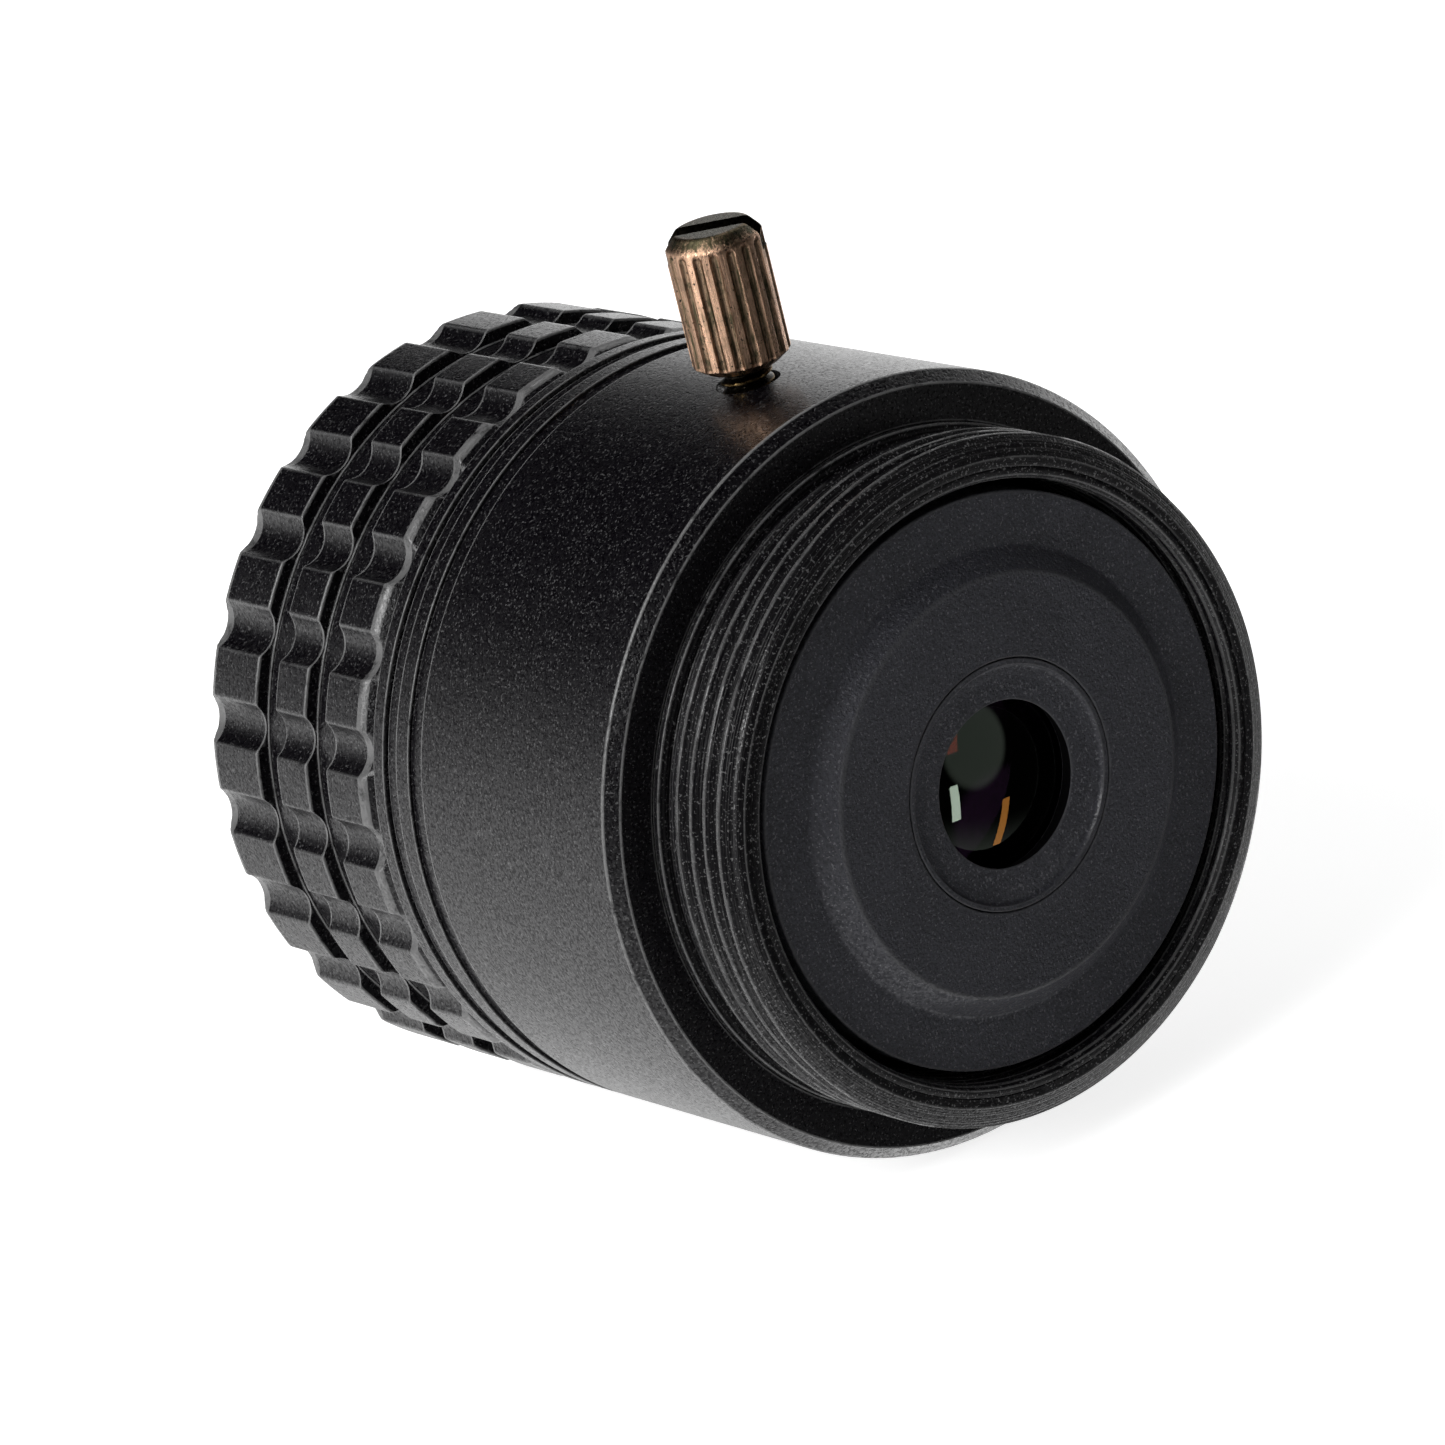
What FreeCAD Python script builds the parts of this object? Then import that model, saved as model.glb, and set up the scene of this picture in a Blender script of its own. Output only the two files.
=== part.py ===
import FreeCAD, Part
import math
import os
import re
import Sketcher

# A small threaded focusing lens unit.  The optical axis lies along Y: the threaded
# rear end points to -Y, the focusing ring to +Y and the lock screw to +Z.
# The origin is the centre of the flat seat behind the mount thread.
# Angles round the axis start at +Z and grow towards +X.

doc = FreeCAD.newDocument("focusing_lens")
V = FreeCAD.Vector
X_AXIS = V(1, 0, 0)
Y_AXIS = V(0, 1, 0)

DIMENSIONS = {
    # main barrel
    "barrel_radius": 14.62,
    "seat_radius": 14.15,
    "rear_chamfer": 0.47,
    "groove_depth": 0.17,
    "groove_width": 0.78,
    "middle_groove": 11.6,
    "joint_groove": 13.2,
    "spigot_end": 13.9,
    "guide_radius": 11.5,
    "pilot_radius": 12.2,
    "pilot_depth": 3.2,
    "seat_bore_radius": 12.75,
    "nose_radius": 12.9,
    "nose_end": 17.32,
    "nose_thread_radius": 12.4,
    "nose_tip": 18.5,
    # mount thread, one inch across
    "thread_radius": 12.7,
    "relief_start": 0.3,
    "relief_end": 1.3,
    "thread_end": 4.0,
    "lip_place": 4.3,
    "lip_outer_radius": 11.9,
    "lip_inner_radius": 11.1,
    "lip_chamfer": 0.15,
    # retaining ring and washer that hold the focusing ring
    "washer_radius": 13.25,
    "washer_thickness": 0.2,
    "retainer_radius": 13.2,
    "axial_play": 0.03,
    # focusing ring
    "ring_start": 13.97,
    "ring_end": 25.5,
    "ring_bearing_radius": 12.94,
    "ring_bore_radius": 13.5,
    "shoulder_end": 17.3,
    "rim_width": 0.63,
    "entry_groove_radius": 14.15,
    "entry_groove_flat": 0.35,
    "entry_groove_slope": 0.5,
    "grip_groove_radius": 14.0,
    "grip_groove_width": 1.3,
    "grip_groove_one": 17.75,
    "grip_groove_two": 21.0,
    "front_chamfer": 0.3,
    "lobe_count": 25,
    "lobe_angle": 5.3,
    "scallop_radius": 1.09,
    "scallop_centre": 15.2,
    # helicoid sleeve and front trim ring
    "sleeve_radius": 11.5,
    "sleeve_start": 18.8,
    "sleeve_end": 21.9,
    "trim_start": 22.2,
    "trim_lip_radius": 11.9,
    "trim_step": 23.5,
    "filter_radius": 12.75,
    "trim_end": 25.35,
    # moving lens cell
    "cell_radius": 11.45,
    "cell_start": 4.6,
    "cell_end": 21.8,
    "neck_radius": 10.4,
    "neck_start": 2.25,
    "cell_bore_radius": 9.3,
    "stop_seat": 4.2,
    "stop_bore_radius": 8.3,
    # rear plate with its conical boss
    "plate_radius": 10.65,
    "plate_place": 3.78,
    "plate_chamfer": 0.15,
    "plate_shank_end": 2.0,
    "boss_base_radius": 8.65,
    "boss_radius": 7.8,
    "boss_place": 4.6,
    "lens_bore_radius": 4.68,
    "window_rim_radius": 4.45,
    "window_recess": 0.24,
    "window_radius": 3.1,
    "window_ring_end": 3.5,
    # lens elements and what holds them
    "lens_play": 0.05,
    "rear_lens_vertex": 4.0,
    "rear_lens_curve": 9.0,
    "rear_lens_front": 1.0,
    "spacer_wall": 0.7,
    "field_lens_rear": 0.2,
    "field_lens_curve": 12.0,
    "field_lens_vertex": 1.75,
    "field_seat": 1.08,
    "stop_thickness": 0.3,
    "stop_radius": 3.4,
    "flint_rear": 6.2,
    "flint_edge": 10.2,
    "crown_curve": 14.0,
    "crown_rear": 7.0,
    "crown_vertex": 13.0,
    "crown_front_curve": 26.0,
    "crown_seat": 11.55,
    "spacer_front": 15.6,
    "front_lens_vertex": 20.3,
    "front_lens_curve": 20.0,
    "front_ring_start": 18.4,
    "front_ring_radius": 8.5,
    "front_ring_mouth": 8.9,
    "spanner_slot_width": 0.9,
    "spanner_slot_depth": 0.45,
    # guide pin and turning stop
    "pin_radius": 0.75,
    "pin_fit": 0.05,
    "pin_place": 7.4,
    "pin_foot": 10.2,
    "pin_tip": 12.85,
    "slot_depth": 13.1,
    "focus_back": 0.6,
    "focus_forward": 1.6,
    "stop_pin_radius": 0.5,
    "stop_pin_place": 15.8,
    "stop_pin_foot": 12.35,
    "stop_pin_tip": 13.45,
    "stop_pin_angle": 15.0,
    "stop_track_radius": 12.25,
    "stop_track_half_width": 0.56,
    "stop_track_turn": 335.0,
    # grub screws
    "grub_radius": 0.6,
    "grub_socket": 0.35,
    "grub_socket_depth": 0.7,
    "mount_grub_place": 1.6,
    "mount_grub_foot": 11.6,
    "mount_grub_tip": 14.3,
    "ring_grub_place": 20.0,
    "ring_grub_foot": 12.6,
    "ring_grub_tip": 14.0,
    # lock screw, two millimetres across, and its soft pad
    "screw_place": 5.47,
    "screw_radius": 0.99,
    "screw_hole_radius": 1.02,
    "screw_foot": 12.37,
    "screw_countersink_radius": 1.2,
    "screw_countersink_depth": 0.22,
    "head_start": 15.3,
    "head_end": 20.67,
    "head_radius": 1.84,
    "head_flat_radius": 1.4,
    "head_chamfer": 0.5,
    "head_foot_chamfer": 0.3,
    "head_flutes": 18,
    "flute_radius": 0.16,
    "flute_end": 0.62,
    "slot_width": 0.96,
    "slot_cut": 1.1,
    "slot_turn": -45.0,
    "pad_radius": 0.78,
    "pad_hole_radius": 0.8,
    "pad_hole_end": 12.34,
    "pad_foot": 11.52,
    "pad_tip": 12.33,
}

dims = doc.addObject("Spreadsheet::Sheet", "dims")
for row, (alias, number) in enumerate(DIMENSIONS.items(), start=1):
    dims.set("A%d" % row, alias)
    dims.set("B%d" % row, str(number))
    dims.setAlias("B%d" % row, alias)
doc.recompute()


def size(name):
    """The number held by one cell of the sheet."""
    return DIMENSIONS[name]


def bound(text):
    """An expression over the sheet's aliases, such as barrel_radius - groove_depth."""
    return re.sub(r"[a-z][a-z_]+", lambda word: "dims." + word.group(0), str(text))


def value(text):
    """The present value of such an expression."""
    return float(dims.evalExpression(bound(text)))


def plane(body, role):
    """One of the origin planes or axes of a body."""
    return next(item for item in body.Origin.OriginFeatures if item.Role == role)


def new_body(label):
    """An empty body whose name and label are the node's name."""
    body = doc.addObject("PartDesign::Body", label)
    body.Label = label
    return body


def new_sketch(body, name, role="XY_Plane"):
    """A sketch attached to one of the body's own origin planes."""
    sketch = body.newObject("Sketcher::SketchObject", body.Name + "_" + name)
    sketch.AttachmentSupport = [(plane(body, role), "")]
    sketch.MapMode = "FlatFace"
    return sketch


def fix_distance(sketch, kind, index, expression):
    """Hold one vertex of a sketch at a signed distance from the origin."""
    distance = value(expression)
    if distance < 0:
        number = sketch.addConstraint(Sketcher.Constraint(kind, index, 1, -1, 1, -distance))
        sketch.setExpression("Constraints[%d]" % number, bound("-(%s)" % expression))
    else:
        number = sketch.addConstraint(Sketcher.Constraint(kind, -1, 1, index, 1, distance))
        sketch.setExpression("Constraints[%d]" % number, bound(expression))


def draw_outline(sketch, outline):
    """Closed outline of straight lines through points given as sheet expressions."""
    points = [V(value(radius), value(place), 0) for radius, place in outline]
    count = len(points)
    for index in range(count):
        segment = Part.LineSegment(points[index], points[(index + 1) % count])
        sketch.addGeometry(segment, False)
    for index in range(count):
        joined = Sketcher.Constraint("Coincident", index, 2, (index + 1) % count, 1)
        sketch.addConstraint(joined)
    for index, (radius, place) in enumerate(outline):
        if points[index].x == 0:
            sketch.addConstraint(Sketcher.Constraint("PointOnObject", index, 1, -2))
        else:
            fix_distance(sketch, "DistanceX", index, radius)
        if points[index].y == 0:
            sketch.addConstraint(Sketcher.Constraint("PointOnObject", index, 1, -1))
        else:
            fix_distance(sketch, "DistanceY", index, place)


def turned(label, outline):
    """A piece turned about the optical axis: (radius, place along Y) outline points."""
    body = new_body(label)
    sketch = new_sketch(body, "profile")
    draw_outline(sketch, outline)
    revolution = body.newObject("PartDesign::Revolution", label + "_turning")
    revolution.Profile = sketch
    revolution.ReferenceAxis = (sketch, ["V_Axis"])
    revolution.Angle = 360.0
    doc.recompute()
    return body


def expect_cut(body, feature, before):
    """Stop when a cutting feature has removed nothing."""
    doc.recompute()
    if feature.Shape.isNull() or feature.Shape.Volume > before - 1e-4:
        raise RuntimeError("%s cuts nothing from %s" % (feature.Name, body.Name))


def outward_sketch(body, name, angle, start):
    """A sketch square to the radius at one angle, at one distance from the axis."""
    sketch = new_sketch(body, name)
    lift = FreeCAD.Placement(V(0, 0, value(start)), FreeCAD.Rotation())
    turn = FreeCAD.Placement(V(), FreeCAD.Rotation(Y_AXIS, angle))
    sketch.AttachmentOffset = turn.multiply(lift)
    return sketch


def pocket_outward(body, sketch, length):
    """Cut a sketch away from the axis, whichever side the feature takes as its own."""
    before = body.Shape.Volume
    pocket = body.newObject("PartDesign::Pocket", sketch.Name + "_cut")
    pocket.Profile = sketch
    pocket.Type = "Length"
    pocket.setExpression("Length", bound(length))
    pocket.Reversed = True
    expect_cut(body, pocket, before)
    return pocket


def radial_hole(body, name, angle, place, radius, start, end):
    """A round hole along the radius at one angle, between two distances."""
    sketch = outward_sketch(body, name, angle, start)
    circle = Part.Circle(V(0, value(place), 0), V(0, 0, 1), value(radius))
    sketch.addGeometry(circle, False)
    sketch.addConstraint(Sketcher.Constraint("PointOnObject", 0, 3, -2))
    number = sketch.addConstraint(Sketcher.Constraint("DistanceY", -1, 1, 0, 3, value(place)))
    sketch.setExpression("Constraints[%d]" % number, bound(place))
    number = sketch.addConstraint(Sketcher.Constraint("Radius", 0, value(radius)))
    sketch.setExpression("Constraints[%d]" % number, bound(radius))
    return pocket_outward(body, sketch, "(%s) - (%s)" % (end, start))


def box_sketch(sketch, low_x, high_x, low_y, high_y):
    """A rectangle between four sheet expressions."""
    corners = [(low_x, low_y), (high_x, low_y), (high_x, high_y), (low_x, high_y)]
    draw_outline(sketch, corners)


def along_axis(solid, place):
    """Stand a primitive along the optical axis, its foot at a place given in the sheet."""
    solid.Placement = FreeCAD.Placement(V(0, value(place), 0), FreeCAD.Rotation(X_AXIS, -90))
    solid.setExpression("Placement.Base.y", bound(place))


def disc(label, radius, start, end):
    """A plain cylinder along the optical axis."""
    solid = doc.addObject("Part::Cylinder", label)
    solid.setExpression("Radius", bound(radius))
    solid.setExpression("Height", bound("(%s) - (%s)" % (end, start)))
    along_axis(solid, start)
    return solid


def ball(label, radius, centre):
    """A sphere on the optical axis, for one polished face."""
    solid = doc.addObject("Part::Sphere", label)
    solid.setExpression("Radius", bound(radius))
    along_axis(solid, centre)
    return solid


def combine(kind, label, base, tool):
    """A Part boolean of two objects."""
    result = doc.addObject(kind, label)
    result.Base = base
    result.Tool = tool
    result.Label = label
    return result


def radial_rod(label, angle, place, radius, foot, tip):
    """A round pin along the radius at one angle."""
    rod = doc.addObject("Part::Cylinder", label)
    rod.setExpression("Radius", bound(radius))
    rod.setExpression("Height", bound("(%s) - (%s)" % (tip, foot)))
    turn = FreeCAD.Rotation(Y_AXIS, angle)
    foot_point = turn.multVec(V(0, 0, value(foot)))
    rod.Placement = FreeCAD.Placement(foot_point + V(0, value(place), 0), turn)
    rod.setExpression("Placement.Base.y", bound(place))
    return rod


def grub_screws(label, angles, place, foot, tip):
    """Headless screws with a hexagon socket, one at each angle."""
    screws = []
    for number, angle in enumerate(angles, start=1):
        name = "%s_%d" % (label, number)
        rod = radial_rod(name + "_rod", angle, place, "grub_radius", foot, tip)
        socket = doc.addObject("Part::Prism", name + "_socket")
        socket.Polygon = 6
        socket.setExpression("Circumradius", bound("grub_socket"))
        socket.setExpression("Height", bound("grub_socket_depth"))
        turn = FreeCAD.Rotation(Y_AXIS, angle)
        mouth = turn.multVec(V(0, 0, value(tip + " - grub_socket_depth")))
        socket.Placement = FreeCAD.Placement(mouth + V(0, value(place), 0), turn)
        screws.append(combine("Part::Cut", name, rod, socket))
    group = doc.addObject("Part::Compound", label)
    group.Links = screws
    group.Label = label
    return group


# ---------------------------------------------------------------- fixed barrel

MOUNT_GRUB_ANGLES = (90.0, 180.0)
LOBE_PITCH = 360.0 / size("lobe_count")
VALLEY_ANGLE = size("lobe_angle") + LOBE_PITCH / 2
RING_GRUB_ANGLES = (VALLEY_ANGLE + 5 * LOBE_PITCH, VALLEY_ANGLE + 10 * LOBE_PITCH)

main_barrel = turned("main_barrel", [
    ("pilot_radius", "seat_bore_radius - pilot_radius"),
    ("seat_bore_radius", "0"),
    ("seat_radius", "0"),
    ("barrel_radius", "rear_chamfer"),
    ("barrel_radius", "middle_groove"),
    ("barrel_radius - groove_depth", "middle_groove"),
    ("barrel_radius - groove_depth", "middle_groove + groove_width"),
    ("barrel_radius", "middle_groove + groove_width"),
    ("barrel_radius", "joint_groove"),
    ("barrel_radius - groove_depth", "joint_groove"),
    ("barrel_radius - groove_depth", "spigot_end"),
    ("nose_radius", "spigot_end"),
    ("nose_radius", "nose_end"),
    ("nose_thread_radius", "nose_end"),
    ("nose_thread_radius", "nose_tip"),
    ("guide_radius", "nose_tip"),
    ("guide_radius", "pilot_depth"),
    ("pilot_radius", "pilot_depth"),
])

# stepped hole for the lock screw and its pad, with a small countersink
radial_hole(main_barrel, "pad_hole", 0, "screw_place", "pad_hole_radius",
            "guide_radius - 1", "barrel_radius + 1")
radial_hole(main_barrel, "screw_hole", 0, "screw_place", "screw_hole_radius",
            "pad_hole_end", "barrel_radius + 1")
radial_hole(main_barrel, "screw_mouth", 0, "screw_place", "screw_countersink_radius",
            "barrel_radius - screw_countersink_depth", "barrel_radius + 1")
for number, angle in enumerate(MOUNT_GRUB_ANGLES, start=1):
    radial_hole(main_barrel, "grub_hole_%d" % number, angle, "mount_grub_place",
                "grub_radius", "pilot_radius - 0.5", "barrel_radius + 1")

# straight slot inside the guide bore, which keeps the lens cell from turning
slot_sketch = outward_sketch(main_barrel, "guide_slot", 90, "guide_radius - 1")
box_sketch(slot_sketch,
           "-(pin_radius + pin_fit)",
           "pin_radius + pin_fit",
           "pin_place - focus_back - pin_radius - pin_fit",
           "pin_place + focus_forward + pin_radius + pin_fit")
pocket_outward(main_barrel, slot_sketch, "slot_depth - guide_radius + 1")

# track in the nose for the turning stop: nearly a full turn, centred on +X
track_sketch = new_sketch(main_barrel, "stop_track")
box_sketch(track_sketch,
           "stop_track_radius",
           "nose_radius + 1",
           "stop_pin_place - stop_track_half_width",
           "stop_pin_place + stop_track_half_width")
before_track = main_barrel.Shape.Volume
stop_track = main_barrel.newObject("PartDesign::Groove", "main_barrel_track")
stop_track.Profile = track_sketch
stop_track.ReferenceAxis = (track_sketch, ["V_Axis"])
stop_track.Midplane = True
stop_track.setExpression("Angle", bound("stop_track_turn"))
expect_cut(main_barrel, stop_track, before_track)

mount_ring = turned("mount_ring", [
    ("lip_inner_radius", "-(lip_place - lip_chamfer)"),
    ("lip_inner_radius + lip_chamfer", "-lip_place"),
    ("lip_outer_radius", "-lip_place"),
    ("thread_radius", "-thread_end"),
    ("thread_radius", "-relief_end"),
    ("pilot_radius", "-relief_end"),
    ("pilot_radius", "-relief_start"),
    ("thread_radius", "-relief_start"),
    ("thread_radius", "0"),
    ("pilot_radius", "0"),
    ("pilot_radius", "pilot_depth"),
    ("lip_inner_radius", "pilot_depth"),
])
for number, angle in enumerate(MOUNT_GRUB_ANGLES, start=1):
    radial_hole(mount_ring, "grub_dimple_%d" % number, angle, "mount_grub_place",
                "grub_radius", "mount_grub_foot", "pilot_radius + 1")
mount_grub_screws = grub_screws("mount_grub_screws", MOUNT_GRUB_ANGLES,
                                "mount_grub_place", "mount_grub_foot", "mount_grub_tip")

friction_washer = turned("friction_washer", [
    ("nose_thread_radius + axial_play", "nose_end + 0.01"),
    ("washer_radius", "nose_end + 0.01"),
    ("washer_radius", "nose_end + 0.01 + washer_thickness"),
    ("nose_thread_radius + axial_play", "nose_end + 0.01 + washer_thickness"),
])
nose_retaining_ring = turned("nose_retaining_ring", [
    ("nose_thread_radius", "nose_end + 0.01 + washer_thickness"),
    ("retainer_radius", "nose_end + 0.01 + washer_thickness"),
    ("retainer_radius", "nose_tip"),
    ("nose_thread_radius", "nose_tip"),
])

# ---------------------------------------------------------------- focusing ring

focus_grip = turned("focus_grip", [
    ("ring_bearing_radius", "ring_start"),
    ("barrel_radius", "ring_start"),
    ("barrel_radius", "ring_start + rim_width"),
    ("entry_groove_radius", "ring_start + rim_width"),
    ("entry_groove_radius", "ring_start + rim_width + entry_groove_flat"),
    ("barrel_radius", "ring_start + rim_width + entry_groove_flat + entry_groove_slope"),
    ("barrel_radius", "grip_groove_one"),
    ("grip_groove_radius", "grip_groove_one"),
    ("grip_groove_radius", "grip_groove_one + grip_groove_width"),
    ("barrel_radius", "grip_groove_one + grip_groove_width"),
    ("barrel_radius", "grip_groove_two"),
    ("grip_groove_radius", "grip_groove_two"),
    ("grip_groove_radius", "grip_groove_two + grip_groove_width"),
    ("barrel_radius", "grip_groove_two + grip_groove_width"),
    ("barrel_radius", "ring_end - front_chamfer"),
    ("barrel_radius - front_chamfer", "ring_end"),
    ("ring_bore_radius", "ring_end"),
    ("ring_bore_radius", "shoulder_end"),
    ("ring_bearing_radius", "shoulder_end"),
])

# finger scallops: one milled flute, repeated round the ring, that stops at the rim
flute_sketch = new_sketch(focus_grip, "scallop", "XZ_Plane")
flute_sketch.AttachmentOffset = FreeCAD.Placement(
    V(0, 0, -value("ring_start + rim_width")), FreeCAD.Rotation())
valley = math.radians(VALLEY_ANGLE)
reach = size("scallop_centre")
flute_sketch.addGeometry(
    Part.Circle(V(reach * math.sin(valley), reach * math.cos(valley), 0), V(0, 0, 1),
                size("scallop_radius")), False)
number = flute_sketch.addConstraint(Sketcher.Constraint("Radius", 0, size("scallop_radius")))
flute_sketch.setExpression("Constraints[%d]" % number, bound("scallop_radius"))
for kind, part_name in (("DistanceX", "sin"), ("DistanceY", "cos")):
    distance = reach * getattr(math, part_name)(valley)
    number = flute_sketch.addConstraint(Sketcher.Constraint(kind, -1, 1, 0, 3, distance))
    flute_sketch.setExpression(
        "Constraints[%d]" % number,
        "dims.scallop_centre * %s((dims.lobe_angle + 180 / dims.lobe_count) * 1 deg)" % part_name)
before_scallop = focus_grip.Shape.Volume
scallop = focus_grip.newObject("PartDesign::Pocket", "focus_grip_scallop_cut")
scallop.Profile = flute_sketch
scallop.Type = "Length"
scallop.setExpression("Length", bound("ring_end - ring_start"))
expect_cut(focus_grip, scallop, before_scallop)
scallops = focus_grip.newObject("PartDesign::PolarPattern", "focus_grip_scallops")
scallops.Originals = [scallop]
scallops.Axis = (plane(focus_grip, "Y_Axis"), [""])
scallops.Angle = 360.0
scallops.setExpression("Occurrences", bound("lobe_count"))
focus_grip.Tip = scallops
doc.recompute()

radial_hole(focus_grip, "stop_hole", size("stop_pin_angle"), "stop_pin_place",
            "stop_pin_radius", "ring_bearing_radius - 0.3", "stop_pin_tip")
for number, angle in enumerate(RING_GRUB_ANGLES, start=1):
    radial_hole(focus_grip, "grub_hole_%d" % number, angle, "ring_grub_place",
                "grub_radius", "ring_bore_radius - 0.5", "barrel_radius + 1")

helicoid_sleeve = turned("helicoid_sleeve", [
    ("sleeve_radius", "sleeve_start"),
    ("ring_bore_radius", "sleeve_start"),
    ("ring_bore_radius", "sleeve_end"),
    ("sleeve_radius", "sleeve_end"),
])
for number, angle in enumerate(RING_GRUB_ANGLES, start=1):
    radial_hole(helicoid_sleeve, "grub_dimple_%d" % number, angle, "ring_grub_place",
                "grub_radius", "ring_grub_foot", "ring_bore_radius + 1")
ring_grub_screws = grub_screws("ring_grub_screws", RING_GRUB_ANGLES,
                               "ring_grub_place", "ring_grub_foot", "ring_grub_tip")
stop_pin = radial_rod("stop_pin", size("stop_pin_angle"), "stop_pin_place",
                      "stop_pin_radius", "stop_pin_foot", "stop_pin_tip")

front_trim_ring = turned("front_trim_ring", [
    ("trim_lip_radius", "trim_start"),
    ("ring_bore_radius", "trim_start"),
    ("ring_bore_radius", "trim_end"),
    ("filter_radius + 0.2", "trim_end"),
    ("filter_radius", "trim_end - 0.2"),
    ("filter_radius", "trim_step"),
    ("trim_lip_radius", "trim_step"),
])

# ---------------------------------------------------------------- moving lens cell

focus_carrier = turned("focus_carrier", [
    ("cell_bore_radius", "-neck_start"),
    ("neck_radius", "-neck_start"),
    ("neck_radius", "cell_start"),
    ("cell_radius", "cell_start"),
    ("cell_radius", "cell_end"),
    ("cell_bore_radius", "cell_end"),
    ("cell_bore_radius", "stop_seat"),
    ("stop_bore_radius", "stop_seat"),
    ("stop_bore_radius", "plate_shank_end + 0.3"),
    ("cell_bore_radius", "plate_shank_end + 0.3"),
])
radial_hole(focus_carrier, "guide_pin_hole", 90, "pin_place", "pin_radius",
            "pin_foot", "cell_radius + 1")
guide_pin = radial_rod("guide_pin", 90, "pin_place", "pin_radius", "pin_foot", "pin_tip")

rear_plate = turned("rear_plate", [
    ("lens_bore_radius", "-boss_place"),
    ("boss_radius", "-boss_place"),
    ("boss_base_radius", "-plate_place"),
    ("plate_radius - plate_chamfer", "-plate_place"),
    ("plate_radius", "-(plate_place - plate_chamfer)"),
    ("plate_radius", "-neck_start"),
    ("cell_bore_radius", "-neck_start"),
    ("cell_bore_radius", "plate_shank_end"),
    ("lens_bore_radius", "plate_shank_end"),
])
rear_retaining_ring = turned("rear_retaining_ring", [
    ("window_radius", "-(boss_place - window_recess)"),
    ("window_rim_radius", "-(boss_place - window_recess)"),
    ("window_rim_radius", "-boss_place"),
    ("lens_bore_radius", "-boss_place"),
    ("lens_bore_radius", "-window_ring_end"),
    ("window_radius", "-window_ring_end"),
])

lens_edge = "lens_bore_radius - lens_play"
rear_lens = combine(
    "Part::Common", "rear_lens",
    disc("rear_lens_blank", lens_edge, "-rear_lens_vertex", "-rear_lens_front"),
    ball("rear_lens_face", "rear_lens_curve", "rear_lens_curve - rear_lens_vertex"))
rear_spacer = turned("rear_spacer", [
    ("lens_bore_radius - spacer_wall", "-rear_lens_front"),
    ("lens_bore_radius", "-rear_lens_front"),
    ("lens_bore_radius", "field_lens_rear"),
    ("lens_bore_radius - spacer_wall", "field_lens_rear"),
])
field_lens = combine(
    "Part::Common", "field_lens",
    disc("field_lens_blank", lens_edge, "field_lens_rear", "field_lens_vertex"),
    ball("field_lens_face", "field_lens_curve", "field_lens_vertex - field_lens_curve"))
inner_retaining_ring = turned("inner_retaining_ring", [
    ("lens_bore_radius - spacer_wall", "field_seat"),
    ("lens_bore_radius - spacer_wall", "plate_shank_end + 0.25"),
    ("cell_bore_radius - 0.05", "plate_shank_end + 0.25"),
    ("cell_bore_radius - 0.05", "plate_shank_end"),
    ("lens_bore_radius", "plate_shank_end"),
    ("lens_bore_radius", "field_seat"),
])

aperture_stop = turned("aperture_stop", [
    ("stop_radius", "stop_seat"),
    ("cell_bore_radius", "stop_seat"),
    ("cell_bore_radius", "stop_seat + stop_thickness"),
    ("stop_radius", "stop_seat + stop_thickness"),
])
stop_spacer = turned("stop_spacer", [
    ("cell_bore_radius - spacer_wall", "stop_seat + stop_thickness"),
    ("cell_bore_radius", "stop_seat + stop_thickness"),
    ("cell_bore_radius", "flint_rear"),
    ("cell_bore_radius - spacer_wall", "flint_rear"),
])

# cemented pair: the flint's hollow face and the crown's rear face share one sphere
glass_edge = "cell_bore_radius - lens_play"
doublet_flint = combine(
    "Part::Cut", "doublet_flint",
    disc("doublet_flint_blank", glass_edge, "flint_rear", "flint_edge"),
    ball("doublet_flint_face", "crown_curve", "crown_rear + crown_curve"))
crown_blank = combine(
    "Part::Common", "doublet_crown_half",
    disc("doublet_crown_blank", glass_edge, "crown_rear", "crown_vertex"),
    ball("doublet_crown_rear", "crown_curve", "crown_rear + crown_curve"))
doublet_crown = combine(
    "Part::Common", "doublet_crown",
    crown_blank,
    ball("doublet_crown_front", "crown_front_curve", "crown_vertex - crown_front_curve"))
front_spacer = turned("front_spacer", [
    ("cell_bore_radius - spacer_wall", "crown_seat"),
    ("cell_bore_radius", "crown_seat"),
    ("cell_bore_radius", "spacer_front"),
    ("cell_bore_radius - spacer_wall", "spacer_front"),
])
front_lens = combine(
    "Part::Common", "front_lens",
    disc("front_lens_blank", glass_edge, "spacer_front", "front_lens_vertex"),
    ball("front_lens_face", "front_lens_curve", "front_lens_vertex - front_lens_curve"))
front_retaining_ring = turned("front_retaining_ring", [
    ("front_ring_radius", "front_ring_start"),
    ("cell_bore_radius", "front_ring_start"),
    ("cell_bore_radius", "cell_end"),
    ("front_ring_mouth", "cell_end"),
    ("front_ring_radius", "cell_end - 1"),
])
spanner_sketch = new_sketch(front_retaining_ring, "spanner_slot", "XZ_Plane")
spanner_sketch.AttachmentOffset = FreeCAD.Placement(
    V(0, 0, -value("cell_end - spanner_slot_depth")), FreeCAD.Rotation())
box_sketch(spanner_sketch,
           "-(cell_bore_radius + 1)",
           "cell_bore_radius + 1",
           "-spanner_slot_width / 2",
           "spanner_slot_width / 2")
before_spanner = front_retaining_ring.Shape.Volume
spanner_cut = front_retaining_ring.newObject("PartDesign::Pocket", "spanner_cut")
spanner_cut.Profile = spanner_sketch
spanner_cut.Type = "Length"
spanner_cut.setExpression("Length", bound("spanner_slot_depth + 1"))
expect_cut(front_retaining_ring, spanner_cut, before_spanner)

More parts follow.
